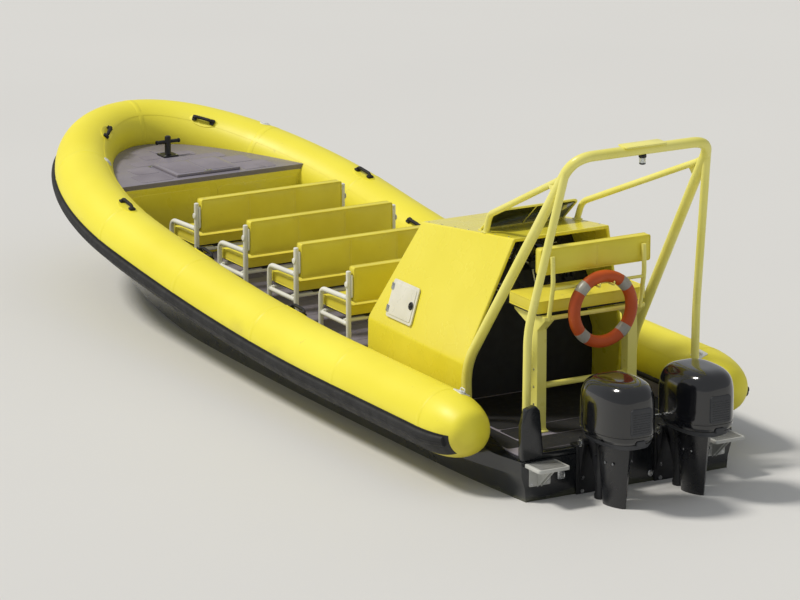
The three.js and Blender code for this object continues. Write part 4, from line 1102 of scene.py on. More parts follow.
class Pad:
    """A stuffed pad: a rounded box whose marked faces crown between sewn channels."""

    def __init__(self, half, crown_axis, signs, places, size=0.018):
        sizes = set_sizes()
        self.half, self.axis, self.signs = half, crown_axis, signs
        self.across = 2 if crown_axis == 0 else 0
        self.corner, self.swell = sizes.pad_corner, sizes.pad_swell
        self.steps = [pad_steps(h, self.corner, size) for h in half]
        wanted = [half[1] * (2 * i / places - 1) for i in range(1, places)]
        self.channels = [min(self.steps[1], key=lambda s, w=w: abs(s - w)) for w in wanted]

    def crown(self, p):
        """How far a point of a marked face stands out before filling."""
        edges = [-self.half[1], *self.channels, self.half[1]]
        low = max(e for e in edges[:-1] if e <= p[1] + 1e-6)
        high = edges[edges.index(low) + 1]
        u = (2 * p[1] - low - high) / (high - low)
        v = p[self.across] / self.half[self.across]
        ripple = 0.08 * sin(9 * p[1] + 5 * p[self.axis]) * sin(14 * p[self.across] + 2)
        lift = (1 - min(abs(u), 1) ** 3.2) * (1 - min(abs(v), 1) ** 3.2) + ripple * (1 - v * v)
        channel = min((abs(p[1] - c) for c in self.channels), default=1.0)
        sunk = 0.005 * exp(-(channel / 0.016) ** 2) * (1 - abs(v) ** 6)
        return 0.55 * self.swell * lift - sunk

    def on_face(self, axis, sign, a, b):
        """A point of the box's face across an axis."""
        p = [0.0, 0.0, 0.0]
        p[axis], p[axis - 2], p[axis - 1] = sign * self.half[axis], a, b
        return p

    def mesh(self, name):
        """The pad before filling; the points that its seams hold are noted."""
        bm = bmesh.new()
        for axis in range(3):
            for sign in (-1, 1):
                grid = [[bm.verts.new(self.on_face(axis, sign, a, b)) for b in self.steps[axis - 1]]
                        for a in self.steps[axis - 2]]
                for one, two in zip(grid, grid[1:]):
                    for quad in zip(one, two, two[1:], one[1:]):
                        bm.faces.new(quad[::sign])
        bmesh.ops.remove_doubles(bm, verts=bm.verts, dist=1e-6)
        self.held = []
        for i, vert in enumerate(bm.verts):
            p = vert.co.copy()
            at_edge = [abs(abs(c) - h) < 1e-6 for c, h in zip(p, self.half)]
            marked = at_edge[self.axis] and copysign(1, p[self.axis]) in self.signs
            if sum(at_edge) > 1 or not marked or any(abs(p[1] - c) < 1e-6 for c in self.channels):
                self.held.append(i)
            vert.co, _ = pad_point(p, self.half, self.corner)
            if marked:
                vert.co[self.axis] += self.crown(p) * copysign(1, p[self.axis])
        made = bpy.data.meshes.new(name)
        bm.to_mesh(made)
        bm.free()
        return made

    def filled(self, name):
        """The pad after its foam has pushed the cover out between the seams."""
        mesh = self.mesh(name)
        scene = bpy.context.scene
        cover = linked(name, mesh)
        cover.vertex_groups.new(name="held").add(self.held, 1.0, "REPLACE")
        cloth = cover.modifiers.new("cloth", "CLOTH")
        cloth.settings.vertex_group_mass = "held"
        cloth.settings.use_pressure = True
        cloth.settings.uniform_pressure_force = 4
        cloth.settings.effector_weights.gravity = 0
        cloth.point_cache.frame_start = 1
        cloth.point_cache.frame_end = FILL_FRAMES
        for number in range(1, FILL_FRAMES + 1):
            scene.frame_set(number)
        found = cover.evaluated_get(bpy.context.evaluated_depsgraph_get())
        moved = [v.co.copy() for v in found.data.vertices]
        cover.modifiers.clear()
        scene.frame_set(1)
        most = self.swell * 0.5
        for vert, there in zip(mesh.vertices, moved):
            step = there - vert.co
            if step.length > 1e-6:
                vert.co += step.normalized() * most * tanh(step.length / most)
        bpy.data.objects.remove(cover)
        return mesh

    def seam(self, axis, sign, lift):
        """The sewn edge round one face, as a closed loop."""
        us, vs = self.steps[axis - 2], self.steps[axis - 1]
        hu, hv = self.half[axis - 2], self.half[axis - 1]
        loop = [(a, -hv) for a in us] + [(hu, b) for b in vs[1:]]
        loop += [(a, hv) for a in us[-2::-1]] + [(-hu, b) for b in vs[-2:0:-1]]
        found = (pad_point(self.on_face(axis, sign, a, b), self.half, self.corner) for a, b in loop)
        return [place + out * lift for place, out in found]

    def channel_rows(self, mesh, gap):
        """Stitching lines beside the channels, laid on the pad's surface."""
        surface = BVHTree.FromPolygons([v.co for v in mesh.vertices], [tuple(f.vertices) for f in mesh.polygons])
        reach = self.half[self.across] - self.corner * 1.3
        rows = []
        for sign in self.signs:
            down = Vector((0, 0, 0))
            down[self.axis] = -sign
            for y in (channel + side for channel in self.channels for side in (-gap, gap)):
                row = []
                for i in range(25):
                    start = Vector((0, y, 0))
                    start[self.across] = reach * (i / 12 - 1)
                    start[self.axis] = sign * 0.3
                    row.append(surface.ray_cast(start, down)[0] - down * 0.0006)
                rows.append(row)
        return rows


def cushion(prefix, pad, places, loops, board=None):
    """One kind of cushion, made once and put at each place with its piping, stitching and board; the board's black is
    painted shade under the seat.
    """
    sizes = set_sizes()
    cover = pad.filled(prefix)
    rows = pad.channel_rows(cover, 0.007)
    vinyl = "marine_vinyl"
    for label, node, at in places:
        name, at = f"{prefix}_{label}", Vector(at)
        copy = cover.copy()
        copy.transform(Matrix.Translation(at))
        piece = put(name, copy, vinyl, replaces=[node], sharp=60)
        for number, (axis, sign) in enumerate(loops):
            loop = [p + at for p in pad.seam(axis, sign, sizes.piping * 0.5)]
            swept(f"{name}_piping_{number}", loop, disc(sizes.piping, 8), vinyl, closed=True, level=False, sharp=80)
        if rows:
            lines = [[p + at for p in row] for row in rows]
            pitch = sizes.stitch_pitch
            stitched(f"{name}_stitching", lines, "polyester_thread", pitch, pitch * 0.6, 0.0011)
        if board:
            put(f"{name}_board", Shape().block(*board, 0.004).moved(at), "black_polyethylene")


class BOAT_OT_benches(bpy.types.Operator):
    """Four rows of bench seats on welded white frames"""

    bl_idname = "boat.benches"
    bl_label = "Bench Seats"

    def execute(self, context):
        spots, spacers = [], Shape()
        for row, x0 in BENCHES.items():
            bench = Shape()
            for sign in (1, -1):
                y = sign * BENCH_Y
                bench.pipe([(0, y, 0.004), (0, y, 0.696)], 0.02, sides=18)
                bench.turned([(0.02, 0.695), (0.0185, 0.701), (0.012, 0.7045), (0.002, 0.705)], (0, y, 0), segments=18)
                bench.pipe([(0, y, 0.49), (BENCH_DEPTH, y, 0.475), (BENCH_DEPTH, y, 0.004)], 0.02, 0.07, 18, 9)
                bead(bench, (0.02, y, 0.489), (1, 0, 0), 0.02)
                bench.pipe([(0, y, 0.285), (BENCH_DEPTH, y, 0.285)], 0.018, sides=18)
                for x, inner in ((0, 0.02), (BENCH_DEPTH, BENCH_DEPTH - 0.02)):
                    bench.slab(x - 0.045, x + 0.045, y - 0.045, y + 0.045, 0.01, "z", 0, 0.008, 0.002)
                    bead(bench, (x, y, 0.009), (0, 0, 1), 0.02)
                    bead(bench, (inner, y, 0.285), (1, 0, 0), 0.018)
                    spots += foot_spots(x0 + x, y, FLOOR + 0.008, 0.032, 0.032)
                for x in BENCH_BARS:
                    bead(bench, (x, y - sign * 0.018, 0.299), (0, 1, 0), 0.016)
                bench.slab(-0.032, 0.032, 0.498, 0.675, 0.014, "y", *sorted((y - sign * 0.022, y - sign * 0.01)), 0.002)
                bench.turned([(0.024, 0), (0.024, 0.003), (0.019, 0.007), (0.006, 0.008)], (0, y + sign * 0.019, 0.6),
                             (0, sign, 0), 20)
            for x in BENCH_BARS:
                bench.pipe([(x, -BENCH_Y, 0.299), (x, BENCH_Y, 0.299)], 0.016)
                for y in (-0.45, 0.0, 0.45):
                    spacer = Shape().block((-0.014, -0.03, 0.312), (0.014, 0.03, 0.323), 0.002)
                    spacers.take(spacer.moved((x0 + x, y, FLOOR)))
            put(f"bench_{row}_tube_frame", bench.moved((x0, 0, FLOOR)), "white_powder_coat",
                replaces=[f"bench_frame_{row}"])
        put("bench_seat_spacers", spacers, "black_polyethylene")
        fasteners("bench_foot_bolts", spots, 0.0065, 0.0045)
        places = set_sizes().places
        seats = [(str(row), f"bench_seat_{row}", (x + 0.2575, 0, FLOOR + 0.376)) for row, x in BENCHES.items()]
        # A black board under each seat cushion, as painted shade beneath it
        board = ((-0.19, -0.62, -0.054), (0.19, 0.62, -0.036))
        cushion("bench_seat_row", Pad((0.2005, 0.635, 0.039), 2, (1,), places), seats, [(2, 1), (2, -1)], board)
        backs = [(str(row), f"bench_back_{row}", (x, 0, FLOOR + 0.5965)) for row, x in BENCHES.items()]
        cushion("bench_back_row", Pad((0.0385, 0.638, 0.1365), 0, (1, -1), places), backs, [(0, 1), (0, -1)])
        return {"FINISHED"}


# Console


CONSOLE_SIDE = [(-1.6, FLOOR), (-1.61, 0.76), (-1.995, 1.53), (-3.245, 1.67), (-3.01, 0.7), (-2.96, FLOOR)]
LEAN = atan(0.3)
DOOR_FRAME = Matrix.Translation((-1.855, 0.66737, 0.80586)) @ Matrix.Rotation(LEAN, 4, "X")
DASH_FRAME = Matrix((
    (0.264, 0.0, -0.9645, -2.7305), (0.0, 1.0, 0.0, 0.0), (0.9645, 0.0, 0.264, 1.304), (0.0, 0.0, 0.0, 1.0)))
WHEEL_FRAME = Matrix.Translation(WHEEL_AT) @ Matrix.Rotation(WHEEL_TILT, 4, "Y")


def roof_height(x):
    """Height of the console's sloping roof."""
    (x0, z0), (x1, z1) = CONSOLE_SIDE[2:4]
    return z0 + (z1 - z0) * (x - x0) / (x1 - x0)


def ring_loft(radius, section, count, matrix):
    """A closed ring whose section, a function of the angle, lies round a circle."""
    return Shape().loft(
        [[matrix @ Vector((*polar(radius + u, a), v)) for u, v in section(a)] for a in turns(count)], closed=False)


def console_door():
    body, place = "side_locker_door", DOOR_FRAME
    panel = Shape()
    panel.prism(rounded_rectangle(-0.37, 0.0, 0.0, 0.2901, 0.022, 8), "y", 0.0, 0.013, 0.003, 3)
    panel.prism(rounded_rectangle(-0.348, -0.022, 0.022, 0.268, 0.016, 8), "y", 0.012, 0.018, 0.003, 3)
    put("locker_door_panel", panel.moved(place), "white_gelcoat", body, replaces=[body], weighted=True)
    latch = Shape().turned(
        [(0.03, 0.0), (0.03, 0.005), (0.026, 0.008), (0.02, 0.008), (0.018, 0.005)], (-0.32, 0.0175, 0.145), (0, 1, 0))
    latch.take(Shape().block((-0.338, 0.022, 0.139), (-0.302, 0.032, 0.151), 0.003))
    seal = rounded_rectangle(-0.358, -0.012, 0.012, 0.278, 0.016, 8)
    latch.pipe([(x, -0.001, z) for x, z in seal + seal[:1]], 0.0019, sides=8)
    put("locker_door_latch_and_seal", latch.moved(place), "textured_black_abs", body)
    leaves, fixed = Shape(), Shape()
    for z in (0.06, 0.23):
        leaves.block((-0.036, 0.0175, z - 0.024), (-0.004, 0.0205, z + 0.024), 0.001)
        for step in (-0.016, 0.016):
            leaves.turned([(0.004, -0.007), (0.004, 0.007)], (-0.001, 0.0175, z + step), segments=12)
        fixed.turned([(0.004, -0.008), (0.004, 0.008)], (0.0035, -0.0005, z), segments=12)
        fixed.block((0.004, -0.0035, z - 0.024), (0.036, -0.0005, z + 0.024), 0.001)
    put("locker_hinge_leaves", leaves.moved(place), "brushed_stainless", body)
    put("locker_hinge_plates", fixed.moved(place), "brushed_stainless")


def console_dash():
    abs_finish = "textured_black_abs"
    put("dash_moulding", cad_shape("dash", 0.004), abs_finish, replaces=["dash"], weighted=True)
    cases, glass, marks, rings = Shape(), Shape(), Shape(), Shape()
    for y in (0.185, -0.185):
        cases.slab(0.04, 0.225, y - 0.14, y + 0.14, 0.012, "z", -0.002, 0.018, 0.005, 3)
        for i in range(5):
            key = (0.21 - i * 0.036, y - copysign(0.128, y), 0.017)
            cases.turned([(0.006, 0), (0.006, 0.0025), (0.004, 0.0035)], key, segments=14)
        glass.slab(0.052, 0.213, y - 0.113, y + 0.113, 0.004, "z", 0.017, 0.0192, 0.0006)
        for i in range(4):
            u, v = 0.066 + 0.034 * i, y - 0.1 + 0.02 * (i % 2)
            marks.prism(rounded_rectangle(u, u + 0.003, v, v + 0.08, 0.001, 2), "z", 0.019, 0.0195)
    for x, y, r in ((-0.04, 0.26, 0.042), (-0.04, 0.36, 0.042), (-0.04, -0.25, 0.042), (-0.13, 0.245, 0.028),
                    (-0.13, 0.315, 0.028)):
        at = Matrix.Translation((x, y, 0))
        rings.turned([(r + 0.006, -0.001), (r + 0.006, 0.006), (r + 0.002, 0.011), (r - 0.003, 0.011),
                      (r - 0.004, 0.006)], (x, y, 0), segments=40)
        glass.turned([(r - 0.0035, 0.0), (r - 0.0035, 0.0068)], (x, y, 0), segments=36)
        for i in range(11):
            tick = Shape().block((-0.0012, r * 0.72, 0.0065), (0.0012, r * 0.86, 0.0072))
            marks.take(tick.moved(at @ Matrix.Rotation(radians(60 + 24 * i), 4, "Z")))
        needle = Shape().block((-0.001, -r * 0.15, 0.0068), (0.001, r * 0.62, 0.0078))
        marks.take(needle.moved(at @ Matrix.Rotation(2.3, 4, "Z")))
    # Twin throttle: a binnacle with two levers
    x, y = -0.1, -0.34
    cases.slab(x - 0.055, x + 0.055, y - 0.04, y + 0.04, 0.014, "z", -0.002, 0.045, 0.012, 3)
    for side in (-0.022, 0.022):
        cases.turned(
            [(0.03, -0.012), (0.034, -0.006), (0.034, 0.006), (0.03, 0.012)], (x, y + side, 0.045), (0, 1, 0), 28)
        rings.pipe([(x, y + side * 1.5, 0.05), (x + 0.03, y + side * 1.5, 0.115), (x + 0.05, y + side * 0.9, 0.14)],
                   0.006, 0.02, 12)
        cases.turned([(0.008, -0.026), (0.014, -0.02), (0.015, 0.0), (0.013, 0.018), (0.006, 0.024)],
                     (x + 0.05, y + side * 0.9, 0.142), (0.2, 1, 0.2), 20)
    # Key switches and a compass pod
    for y in (0.2, 0.245):
        rings.turned([(0.013, -0.001), (0.013, 0.006), (0.009, 0.008), (0.004, 0.008)], (-0.19, y, 0), segments=20)
    cases.turned([(0.05, -0.004), (0.052, 0.02), (0.044, 0.034), (0.036, 0.038)], (0.2, 0, -0.002), segments=36)
    glass.turned([(0.036, 0.03), (0.034, 0.044), (0.024, 0.054), (0.01, 0.058)], (0.2, 0, -0.002), segments=28)
    for label, shape, finish_name in (("instruments", cases, abs_finish), ("glass", glass, "display_glass"),
                                      ("markings", marks, "dial_white"), ("bezels", rings, "brushed_stainless")):
        put(f"dash_{label}", shape.moved(DASH_FRAME), finish_name)
    turn = DASH_FRAME.to_3x3()
    for number, x in enumerate((-0.08, -0.13)):
        slats(f"rocker_switches_{number}", DASH_FRAME @ Vector((x, 0.39, 0.003)), turn @ Vector((0, 0.024, 0)), 3,
              (0.034, 0.017, 0.012), turn.to_euler(), abs_finish)


def console_windscreen():
    fore, thick, rake, rise, side = -2.68, 0.018, 0.21, 0.195, 0.351
    foot = roof_height(fore)
    low = Vector((fore - thick / 2, 0, foot + 0.008))
    high = Vector((fore - rake - thick / 2, 0, foot + rise - 0.006))
    up = high - low
    normal = Vector((up.z, 0, -up.x)).normalized()
    corner = (polar(0.048, pi * k / 16) for k in range(9))
    half = [(0.0, 0.35)] + [(up.length - 0.05 + v, 0.302 + u) for u, v in corner]
    pane = Shape().prism(both_halves(half), "z", -0.003, 0.003, 0.001)
    pane.mapped(lambda p: low + up.normalized() * p.x + Vector((0, p.y, 0)) + normal * p.z)
    put("windscreen_pane", pane, "smoked_acrylic", replaces=["windscreen"])
    x, z = low.x + 0.002, low.z - 0.004
    bars = Shape().pipe(
        [(x, side, z), (high.x, side, high.z), (high.x, -side, high.z), (x, -side, z)], 0.009, 0.05, 14, 8)
    bars.pipe([(low.x, -side, low.z), (low.x, side, low.z)], 0.0085, sides=12)
    bars.pipe([low, high], 0.007, sides=12)
    for y in (-side, -0.17, 0.17, side):
        bars.block((low.x - 0.022, y - 0.016, foot + 0.0004), (low.x + 0.02, y + 0.016, foot + 0.0075), 0.002)
    put("windscreen_frame", bars, "yellow_painted_aluminium")


def console_wheel():
    body = "steering_wheel"
    rim = ring_loft(WHEEL_R, lambda a: disc(0.0121 + 0.0007 * cos(36 * a), 16), 216, WHEEL_FRAME)
    put("wheel_rim", rim, "soft_grip_polyurethane", body, replaces=[body], sharp=70)
    steel, cap = Shape(), Shape()
    for ahead in (Vector((*polar(1, a), 0)) for a in turns(3, 0.5)):
        steel.pipe([ahead * 0.02 + Vector((0, 0, -0.02)), ahead * 0.1 + Vector((0, 0, -0.014)), ahead * 0.176], 0.0085,
                   0.05, 14)
        bead(steel, ahead * 0.036 + Vector((0, 0, -0.0185)), ahead, 0.0085)
    cap.turned([(0.031, -0.115), (0.034, -0.108), (0.034, -0.06), (0.03, -0.05), (0.03, -0.034), (0.034, -0.028),
                (0.034, 0.0), (0.031, 0.005), (0.022, 0.0078), (0.004, 0.008)], segments=40)
    for a in (0.5, 2.594, 4.689):
        cap.turned([(0.003, 0.004), (0.003, 0.0095), (0.002, 0.0105)], (*polar(0.022, a), 0), segments=10)
    put("wheel_spokes", steel.moved(WHEEL_FRAME), "brushed_stainless", body)
    put("wheel_hub", cap.moved(WHEEL_FRAME), "textured_black_abs", body, "wheel_grip")


class BOAT_OT_console(bpy.types.Operator):
    """The console with its dash, instruments, windscreen, locker door and wheel"""

    bl_idname = "boat.console"
    bl_label = "Console"

    def execute(self, context):
        yellow, level = "yellow_gelcoat", FLOOR + 0.006
        put("console_shell", cad_shape("console", 0.012, 4), yellow, replaces=["console"], weighted=True)
        flange = Shape()
        for x0, y0, y1 in ((-2.958, 0.688, 0.716), (-2.958, -0.716, -0.688), (-1.604, -0.69, 0.69)):
            flange.block((x0, y0, FLOOR), (-1.576, y1, level), 0.002)
        put("console_flange", flange, yellow)
        spots = [((-1.59, y / 10, level), (0, 0, 1)) for y in range(-6, 7, 2)]
        spots += [((-1.72 - 0.17 * i, sign * 0.704, level), (0, 0, 1)) for i in range(8) for sign in (1, -1)]
        # Trim screws along the roof's edges
        for x in (-2.06 - 0.18 * i for i in range(7)):
            z = roof_height(x)
            half = 0.69 - (z - 0.72) * 0.3 - 0.022
            spots += [((x, sign * half, z), (0.11, 0, 0.99)) for sign in (1, -1)]
        fasteners("console_screws", spots, 0.0055, 0.0025, 12)
        console_door()
        console_dash()
        console_windscreen()
        console_wheel()
        return {"FINISHED"}


# Helm bench and lifebuoy


class BOAT_OT_helm(bpy.types.Operator):
    """The helm bench on its T posts, with the lifebuoy that hangs behind it"""

    bl_idname = "boat.helm"
    bl_label = "Helm Bench"

    def execute(self, context):
        helm, spots = Shape(), []
        outline = [(0.075, 0), (0.235, 0), (0.235, 0.01), (0.2, 0.024), (0.2, 0.76), (0.43, 0.85), (0.43, 0.878),
                   (0.01, 0.878), (0.01, 0.85), (0.11, 0.76), (0.11, 0.024), (0.075, 0.01)]
        for sign in (1, -1):
            y = sign * HELM_POST_Y
            helm.prism(outline, "y", y - 0.04, y + 0.04, 0.004, 3)
            helm.pipe([(0.024, y, 0.85), (-0.036, y, 1.12), (-0.024, y, 1.33)], 0.017, 0.06)
            helm.pipe([(-0.03, sign * 0.06, 1.092), (-0.146, sign * 0.06, 1.092), (-0.15, sign * 0.06, 1.118)], 0.006,
                      0.012, 12, dome=True)
            bead(helm, (-0.03, y, 1.092), (0, 1, 0), 0.012)
            bead(helm, (0.024, y, 0.852), (-0.22, 0, 1), 0.017)
            bead(helm, (0.156, y - sign * 0.041, 0.33), (0, 1, 0), 0.022)
            spots += foot_spots(HELM_X + 0.155, y, FLOOR + 0.0098, 0.066, 0.026)
            spots += [((HELM_X + 0.155, y + sign * 0.04, FLOOR + z), (0, sign, 0)) for z in (0.2, 0.33, 0.46)]
        for x, z, radius, sides, dome in ((0.156, 0.33, 0.022, 20, False), (0.04, 0.86, 0.017, 16, False),
                                          (-0.03, 1.092, 0.012, 14, True)):
            helm.pipe([(x, -HELM_POST_Y, z), (x, HELM_POST_Y, z)], radius, sides=sides, dome=dome)
        put("helm_bench_frame", helm.moved((HELM_X, 0, FLOOR)), "yellow_painted_aluminium",
            replaces=["helm_seat_frame"], weighted=True)
        fasteners("helm_frame_bolts", spots, 0.0065, 0.0045)
        seat = [("pad", "helm_seat_cushion", (HELM_X + 0.255, 0, FLOOR + 0.94))]
        cushion("helm_seat", Pad((0.193, 0.463, 0.045), 2, (1,), 2), seat, [(2, 1), (2, -1)],
                ((-0.18, -0.45, -0.062), (0.18, 0.45, -0.042)))
        back = [("pad", "helm_back_cushion", (HELM_X + 0.0425, 0, FLOOR + 1.2875))]
        cushion("helm_back", Pad((0.0365, 0.463, 0.0955), 0, (1, -1), 2), back, [(0, 1), (0, -1)])
        # Lifebuoy
        place = Matrix.Translation(BUOY_AT) @ Matrix.Rotation(pi / 2, 4, "Y")

        def section(a, grow=1.0):
            wide = (0.044 + 0.0006 * sin(7 * a)) * 0.995
            return [(grow * wide * blunt(cos(t), 0.9), grow * 0.0435 * blunt(sin(t), 0.9)) for t in turns(28)]

        put("lifebuoy_ring", ring_loft(BUOY_R, section, 96, place), "orange_polyethylene", replaces=["lifebuoy"],
            sharp=70)
        bands = Shape()
        for middle in turns(4, 0.5):
            rings = []
            for i in range(-4, 5):
                a, lift = middle + i * 0.04, 0.0008 if abs(i) == 4 else 0.0018
                rings.append([place @ Vector((*polar(BUOY_R + u, a), v)) for u, v in section(a, 1 + lift / 0.044)])
            bands.loft(rings)
        put("lifebuoy_bands", bands, "reflective_tape", sharp=70)
        return {"FINISHED"}


# Arch


class BOAT_OT_arch(bpy.types.Operator):
    """The raked arch with its legs, rails, feet and stern light"""

    bl_idname = "boat.arch"
    bl_label = "Arch"

    def execute(self, context):
        foot = FLOOR + 0.008
        corner, knee, fore = (-4.305, 0.575, 2.5), (-3.085, 0.71, 0.73), (-3.1, 0.706, foot)
        flip = [(x, -y, z) for x, y, z in (corner, knee, fore)]
        arch, spots = Shape().pipe([fore, knee, corner, *flip], 0.038, 0.17, 28, 14), []
        for sign in (1, -1):
            arch.pipe([(-4.235, sign * 0.588, 2.4), (-3.94, sign * 0.712, 1.18), (-3.925, sign * 0.712, foot)], 0.03,
                      0.12, 24, 10)
            joint, far = Vector((-4.18, sign * 0.59, 2.33)), Vector((-2.885, sign * 0.395, 1.77))
            arch.pipe([joint, far, (-2.83, sign * 0.39, 1.636)], 0.024, 0.06, 20, 8)
            middle = sign * 0.706
            for x, y, radius in ((-3.1, 0.706, 0.038), (-3.925, 0.712, 0.03)):
                arch.slab(x - 0.046, x + 0.046, middle - 0.044, middle + 0.044, 0.01, "z", FLOOR, FLOOR + 0.009, 0.002)
                bead(arch, (x, sign * y, FLOOR + 0.011), (0, 0, 1), radius)
                spots += foot_spots(x, middle, FLOOR + 0.009, 0.037, 0.036)
            way = (far - joint).normalized()
            bead(arch, joint + way * 0.042, way, 0.024)
            # A gusset in the corner between the rail and the hoop
            gusset = [(-4.2, 2.31), (-4.0, 2.25), (-4.06, 2.19), (-4.13, 2.2)]
            arch.prism(gusset, "y", sign * 0.586 - 0.004, sign * 0.586 + 0.004, 0.001)
            # A foot plate where the rail lands on the roof
            arch.slab(-2.86, -2.8, sign * 0.39 - 0.03, sign * 0.39 + 0.03, 0.008, "z", 1.6255, 1.633, 0.001)
        arch.slab(-4.37, -4.24, -0.17, 0.17, 0.02, "z", 2.532, 2.544, 0.003)
        put("arch_tubes", arch, "yellow_painted_aluminium", replaces=["arch"])
        fasteners("arch_bolts", spots, 0.006, 0.004)
        lamp, lens = Shape(), Shape()
        for shape, profile in (
                (lamp, [(0.026, 0), (0.028, 0.006), (0.028, 0.02), (0.022, 0.024)]),
                (lamp, [(0.024, 0.062), (0.022, 0.07), (0.01, 0.074)]),
                (lens, [(0.022, 0.0235), (0.023, 0.03), (0.023, 0.056), (0.022, 0.0625)])):
            shape.turned(profile, (-4.305, 0, 2.464), (0, 0, -1), 28)
        put("stern_light_body", lamp, "textured_black_abs")
        put("stern_light_lens", lens, "clear_lens")
        return {"FINISHED"}


# Outboard motors


COWL_ROWS = [
    (0.5225, -4.2705, -4.829, 0.194), (0.56, -4.2545, -4.846, 0.2125), (0.66, -4.2525, -4.8485, 0.2135),
    (0.77, -4.2545, -4.8495, 0.2125), (0.84, -4.2665, -4.844, 0.205), (0.89, -4.291, -4.829, 0.188),
    (0.924, -4.33, -4.8, 0.158), (0.942, -4.378, -4.756, 0.122), (0.9485, -4.43, -4.7, 0.078),
    (0.9497, -4.51, -4.61, 0.02),
]
PAN_ROWS = [
    (0.477, -4.3, -4.795, 0.155), (0.484, -4.286, -4.812, 0.171), (0.505, -4.276, -4.823, 0.186),
    (0.519, -4.2715, -4.8285, 0.1925),
]
LEG_ROWS = [
    (0.474, -4.402, -4.7, 0.118), (0.3, -4.406, -4.68, 0.096), (0.02, -4.412, -4.65, 0.066),
    (-0.27, -4.404, -4.64, 0.044), (-0.3, -4.4, -4.59, 0.03), (-0.5, -4.4, -4.57, 0.02),
]


def cowl_ring(row, inset=0.0):
    """A boxy oval section of the cowl, narrower aft."""
    z, front, back, half = row
    middle = (front + back) / 2
    reach = max((front - back) / 2 - inset, 0.004)
    half = max(half - inset, 0.004)
    return [Vector((middle + reach * blunt(c, 0.62), half * blunt(s, 0.62) * (1 + 0.2 * c if c < 0 else 1), z)) for c,
            s in (polar(1, a) for a in turns(64))]


def leg_ring(row):
    """A pointed-oval section of the leg, fullest a third of the way back."""
    z, lead, trail, half = row
    shares = [0, 0.02, 0.06, 0.12, 0.2, 0.3, 0.42, 0.55, 0.7, 0.84, 0.95, 1]
    port = [(lead - (lead - trail) * u, half * min(1.0, sin(pi * u ** 0.58) ** 0.62)) for u in shares]
    return [Vector((x, y, z)) for x, y in both_halves(port)]


def hollow(outer, inner):
    """A shell between two stacks of rings that share an open foot."""
    shape, rims = Shape(), []
    for rings in (outer, inner):
        rows = shape.walls(rings)
        shape.bm.faces.new(rows[-1])
        rims.append(rows[0])
    shape.band(*rims)
    return shape


def propeller_shape():
    """A hub and three raked blades whose twist follows a constant pitch."""
    pitch, rings = 0.4, []
    for share in (i / 12 for i in range(13)):
        r = 0.042 + 0.139 * share
        width = 0.052 + 0.052 * sin(pi * min(share * 0.95 + 0.08, 1)) - 0.03 * share ** 6
        if share > 0.8:
            width *= sqrt(max(1 - ((share - 0.8) / 0.21) ** 2, 0.02))
        thick = 0.0065 * (1 - share) + 0.0016
        turn, skew = atan(pitch / (2 * pi * r)), 0.25 * share ** 2
        ring = []
        for t in turns(20):
            along = width / 2 * cos(t)
            across = thick / 2 * sin(t) * (1.2 - 0.35 * cos(t)) + along ** 2
            axial = along * sin(turn) + across * cos(turn) + 0.012 * share
            around = (along * cos(turn) - across * sin(turn)) / r + skew
            ring.append(Vector((-0.052 - axial, r * sin(around), r * cos(around))))
        rings.append(ring)
    shape = Shape().turned([(0.044, 0.0), (0.047, 0.004), (0.05, 0.03), (0.0495, 0.06), (0.044, 0.09), (0.042, 0.1)],
                           axis=(-1, 0, 0), segments=40)
    shape.turned([(0.02, 0.095), (0.02, 0.108), (0.017, 0.112), (0.008, 0.112)], axis=(-1, 0, 0), segments=6)
    for angle in turns(3):
        shape.take(Shape().loft(rings).moved(Matrix.Rotation(angle, 4, "X")))
    return shape


